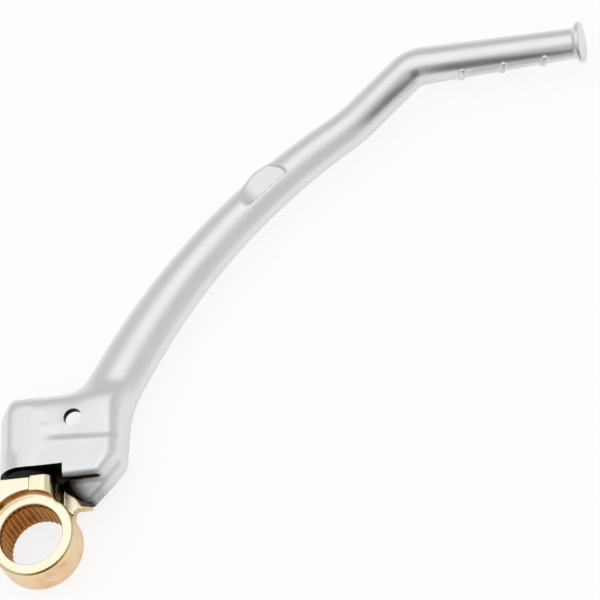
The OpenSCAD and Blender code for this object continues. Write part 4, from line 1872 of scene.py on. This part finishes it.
@dataclass
class Studio:
    """Camera, floor, lamps and surroundings, with levels where 1 is white.

    The photograph spans 600 pixels at 0.35 mm each. The camera's distance and reach are in metres, and so
    are the softbox's width, length and height over the part and its offset. Other sizes are in millimetres.
    """

    centre: tuple[float, float, float] = (95.3, 81.1, 10.0)
    span: float = 210.0
    sensor: float = 36.0
    distance: float = 2.4
    reach: float = 20.0
    right: tuple[float, float, float] = (0.966, 0.0, -0.26)
    up: tuple[float, float, float] = (0.112, 0.9025, 0.416)
    wall_level: float = 0.72
    side_gain: float = 0.25
    floor_half: float = 3000.0
    floor_z: float = -0.05
    floor_paper: str = "#E8E8E8"
    floor_seen: str = "#868686"
    floor_mirrored: str = "#F1F1F1"
    floor_glow_seen: float = 0.81
    floor_glow_mirrored: float = 0.3
    softbox: tuple[float, float, float] = (0.95, 1.7, 1.3)
    softbox_offset: Point = (-0.2, 0.3)
    softbox_level: float = 0.6
    dark_card: tuple[tuple[float, float, float], ...] = (
        (138, 131, 20), (150, 145, 14), (205, 131, 4), (205, 131, 14), (150, 145, 46), (138, 131, 62))
    grey_card: tuple[tuple[float, float, float], ...] = (
        (150, 128, 0.6), (205, 128, 0.6), (205, 152, 0.6), (156, 152, 0.6))

    def build(self) -> None:
        """Sets the whole studio up."""
        self.camera()
        self.floor()
        self.surroundings()
        self.lamps()
        self.cards()
        bpy.context.scene.view_settings.view_transform = "Standard"

    def camera(self) -> None:
        """Places the camera at the photograph's viewing angle."""
        right, up = Vector(self.right).normalized(), Vector(self.up)
        up = (up - right * up.dot(right)).normalized()
        back = right.cross(up)
        data = bpy.data.cameras.new("camera")
        data.sensor_width = self.sensor
        data.lens = self.sensor * self.distance / (self.span * MM)
        data.clip_end = self.reach
        camera = bpy.data.objects.new("camera", data)
        place = Vector(self.centre) * MM + back * self.distance
        camera.matrix_world = Matrix.Translation(place) @ Matrix((right, up, back)).transposed().to_4x4()
        bpy.context.scene.collection.objects.link(camera)
        bpy.context.scene.camera = camera

    def floor(self) -> None:
        """Lays a pale paper floor under the part, which the camera and the metal see white.

        Paper is matt and even. What the camera sees of it is its own glow and a weak share of the lamps'
        light, which keeps a faint shadow.
        """
        material = bpy.data.materials.new("pale floor")
        material.use_nodes = True
        tree = material.node_tree
        tree.nodes.clear()
        path = add_node(tree, "ShaderNodeLightPath").outputs
        seen = add_node(tree, "ShaderNodeMath", {"operation": "MAXIMUM"}, {
            0: path["Is Camera Ray"], 1: path["Is Glossy Ray"]})
        shown = add_node(tree, "ShaderNodeMath", {"operation": "MAXIMUM"}, {
            0: seen.outputs[0], 1: path["Is Transmission Ray"]})
        paper = add_node(tree, "ShaderNodeBsdfDiffuse", links={"Color": linear(self.floor_paper)})
        share = add_node(tree, "ShaderNodeMix", {"data_type": "RGBA"}, {
            FACTOR: path["Is Camera Ray"], COLOUR_A: linear(self.floor_mirrored),
            COLOUR_B: linear(self.floor_seen)})
        shadow = add_node(tree, "ShaderNodeBsdfDiffuse", links={"Color": share.outputs[MIXED]})
        level = add_node(tree, "ShaderNodeMapRange", links={
            "Value": path["Is Camera Ray"], "To Min": self.floor_glow_mirrored,
            "To Max": self.floor_glow_seen})
        glow = add_node(tree, "ShaderNodeEmission", links={"Strength": level.outputs["Result"]})
        both = add_node(tree, "ShaderNodeAddShader", links={0: shadow.outputs[0], 1: glow.outputs[0]})
        mix = add_node(tree, "ShaderNodeMixShader", links={
            "Fac": shown.outputs[0], 1: paper.outputs[0], 2: both.outputs[0]})
        add_node(tree, "ShaderNodeOutputMaterial", links={"Surface": mix.outputs[0]})
        half, z = self.floor_half, self.floor_z
        corners = [(-half, -half, z), (half, -half, z), (half, half, z), (-half, half, z)]
        floor = mesh_of("floor", corners, [(0, 1, 2, 3)])
        floor.data.materials.append(material)

    def surroundings(self) -> None:
        """Makes the pale walls of the studio, a little brighter at both sides."""
        world = bpy.data.worlds.new("studio")
        bpy.context.scene.world = world
        world.use_nodes = True
        tree = world.node_tree
        tree.nodes.clear()
        way = add_node(tree, "ShaderNodeTexCoord").outputs["Generated"]
        across = add_node(tree, "ShaderNodeSeparateXYZ", links={0: way}).outputs["X"]
        square = add_node(tree, "ShaderNodeMath", {"operation": "MULTIPLY"}, {0: across, 1: across})
        level = add_node(tree, "ShaderNodeMath", {"operation": "MULTIPLY_ADD"}, {
            0: square.outputs[0], 1: self.side_gain, 2: self.wall_level})
        sky = add_node(tree, "ShaderNodeBackground", links={"Strength": level.outputs[0]})
        add_node(tree, "ShaderNodeOutputWorld", links={"Surface": sky.outputs[0]})

    def lamps(self) -> None:
        """Hangs one large softbox overhead, longer from front to back."""
        data = bpy.data.lights.new("softbox", "AREA")
        data.shape = "RECTANGLE"
        data.size, data.size_y, height = self.softbox
        data.energy = self.softbox_level * math.pi * data.size * data.size_y
        lamp = bpy.data.objects.new("softbox", data)
        lamp.location = Vector(self.centre) * MM + Vector((*self.softbox_offset, height))
        bpy.context.scene.collection.objects.link(lamp)

    def cards(self) -> None:
        """Stands a folded dark card beside the pedal, and lays a grey one at its foot.

        Only reflections show them, as the dark line along the pedal. They are matt, as painted card is.
        """
        folded, flat = ((0, 1, 4, 5), (1, 2, 3, 4)), ((0, 1, 2, 3),)
        for name, corners, faces, code in (
            ("dark_card", self.dark_card, folded, "#5A5A5C"),
            ("grey_card", self.grey_card, flat, "#D4D4D4"),
        ):
            material = bpy.data.materials.new(name)
            material.use_nodes = True
            shader = material.node_tree.nodes["Principled BSDF"]
            shader.inputs["Base Color"].default_value = linear(code)
            shader.inputs["Roughness"].default_value = 0.9
            card = mesh_of(name, corners, faces)
            card.data.materials.append(material)
            card.visible_camera = card.visible_shadow = card.visible_diffuse = False


def main() -> None:
    """Builds the dressed part and its studio."""
    logging.basicConfig(level=logging.INFO, format="%(message)s")
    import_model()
    pivot = Pivot()
    Studio().build()
    Lever(pivot, ForgedAluminium()).build()
    Knuckle(pivot, PassivatedZinc()).build()
    PivotHardware(pivot).build()


if __name__ == "__main__":
    main()
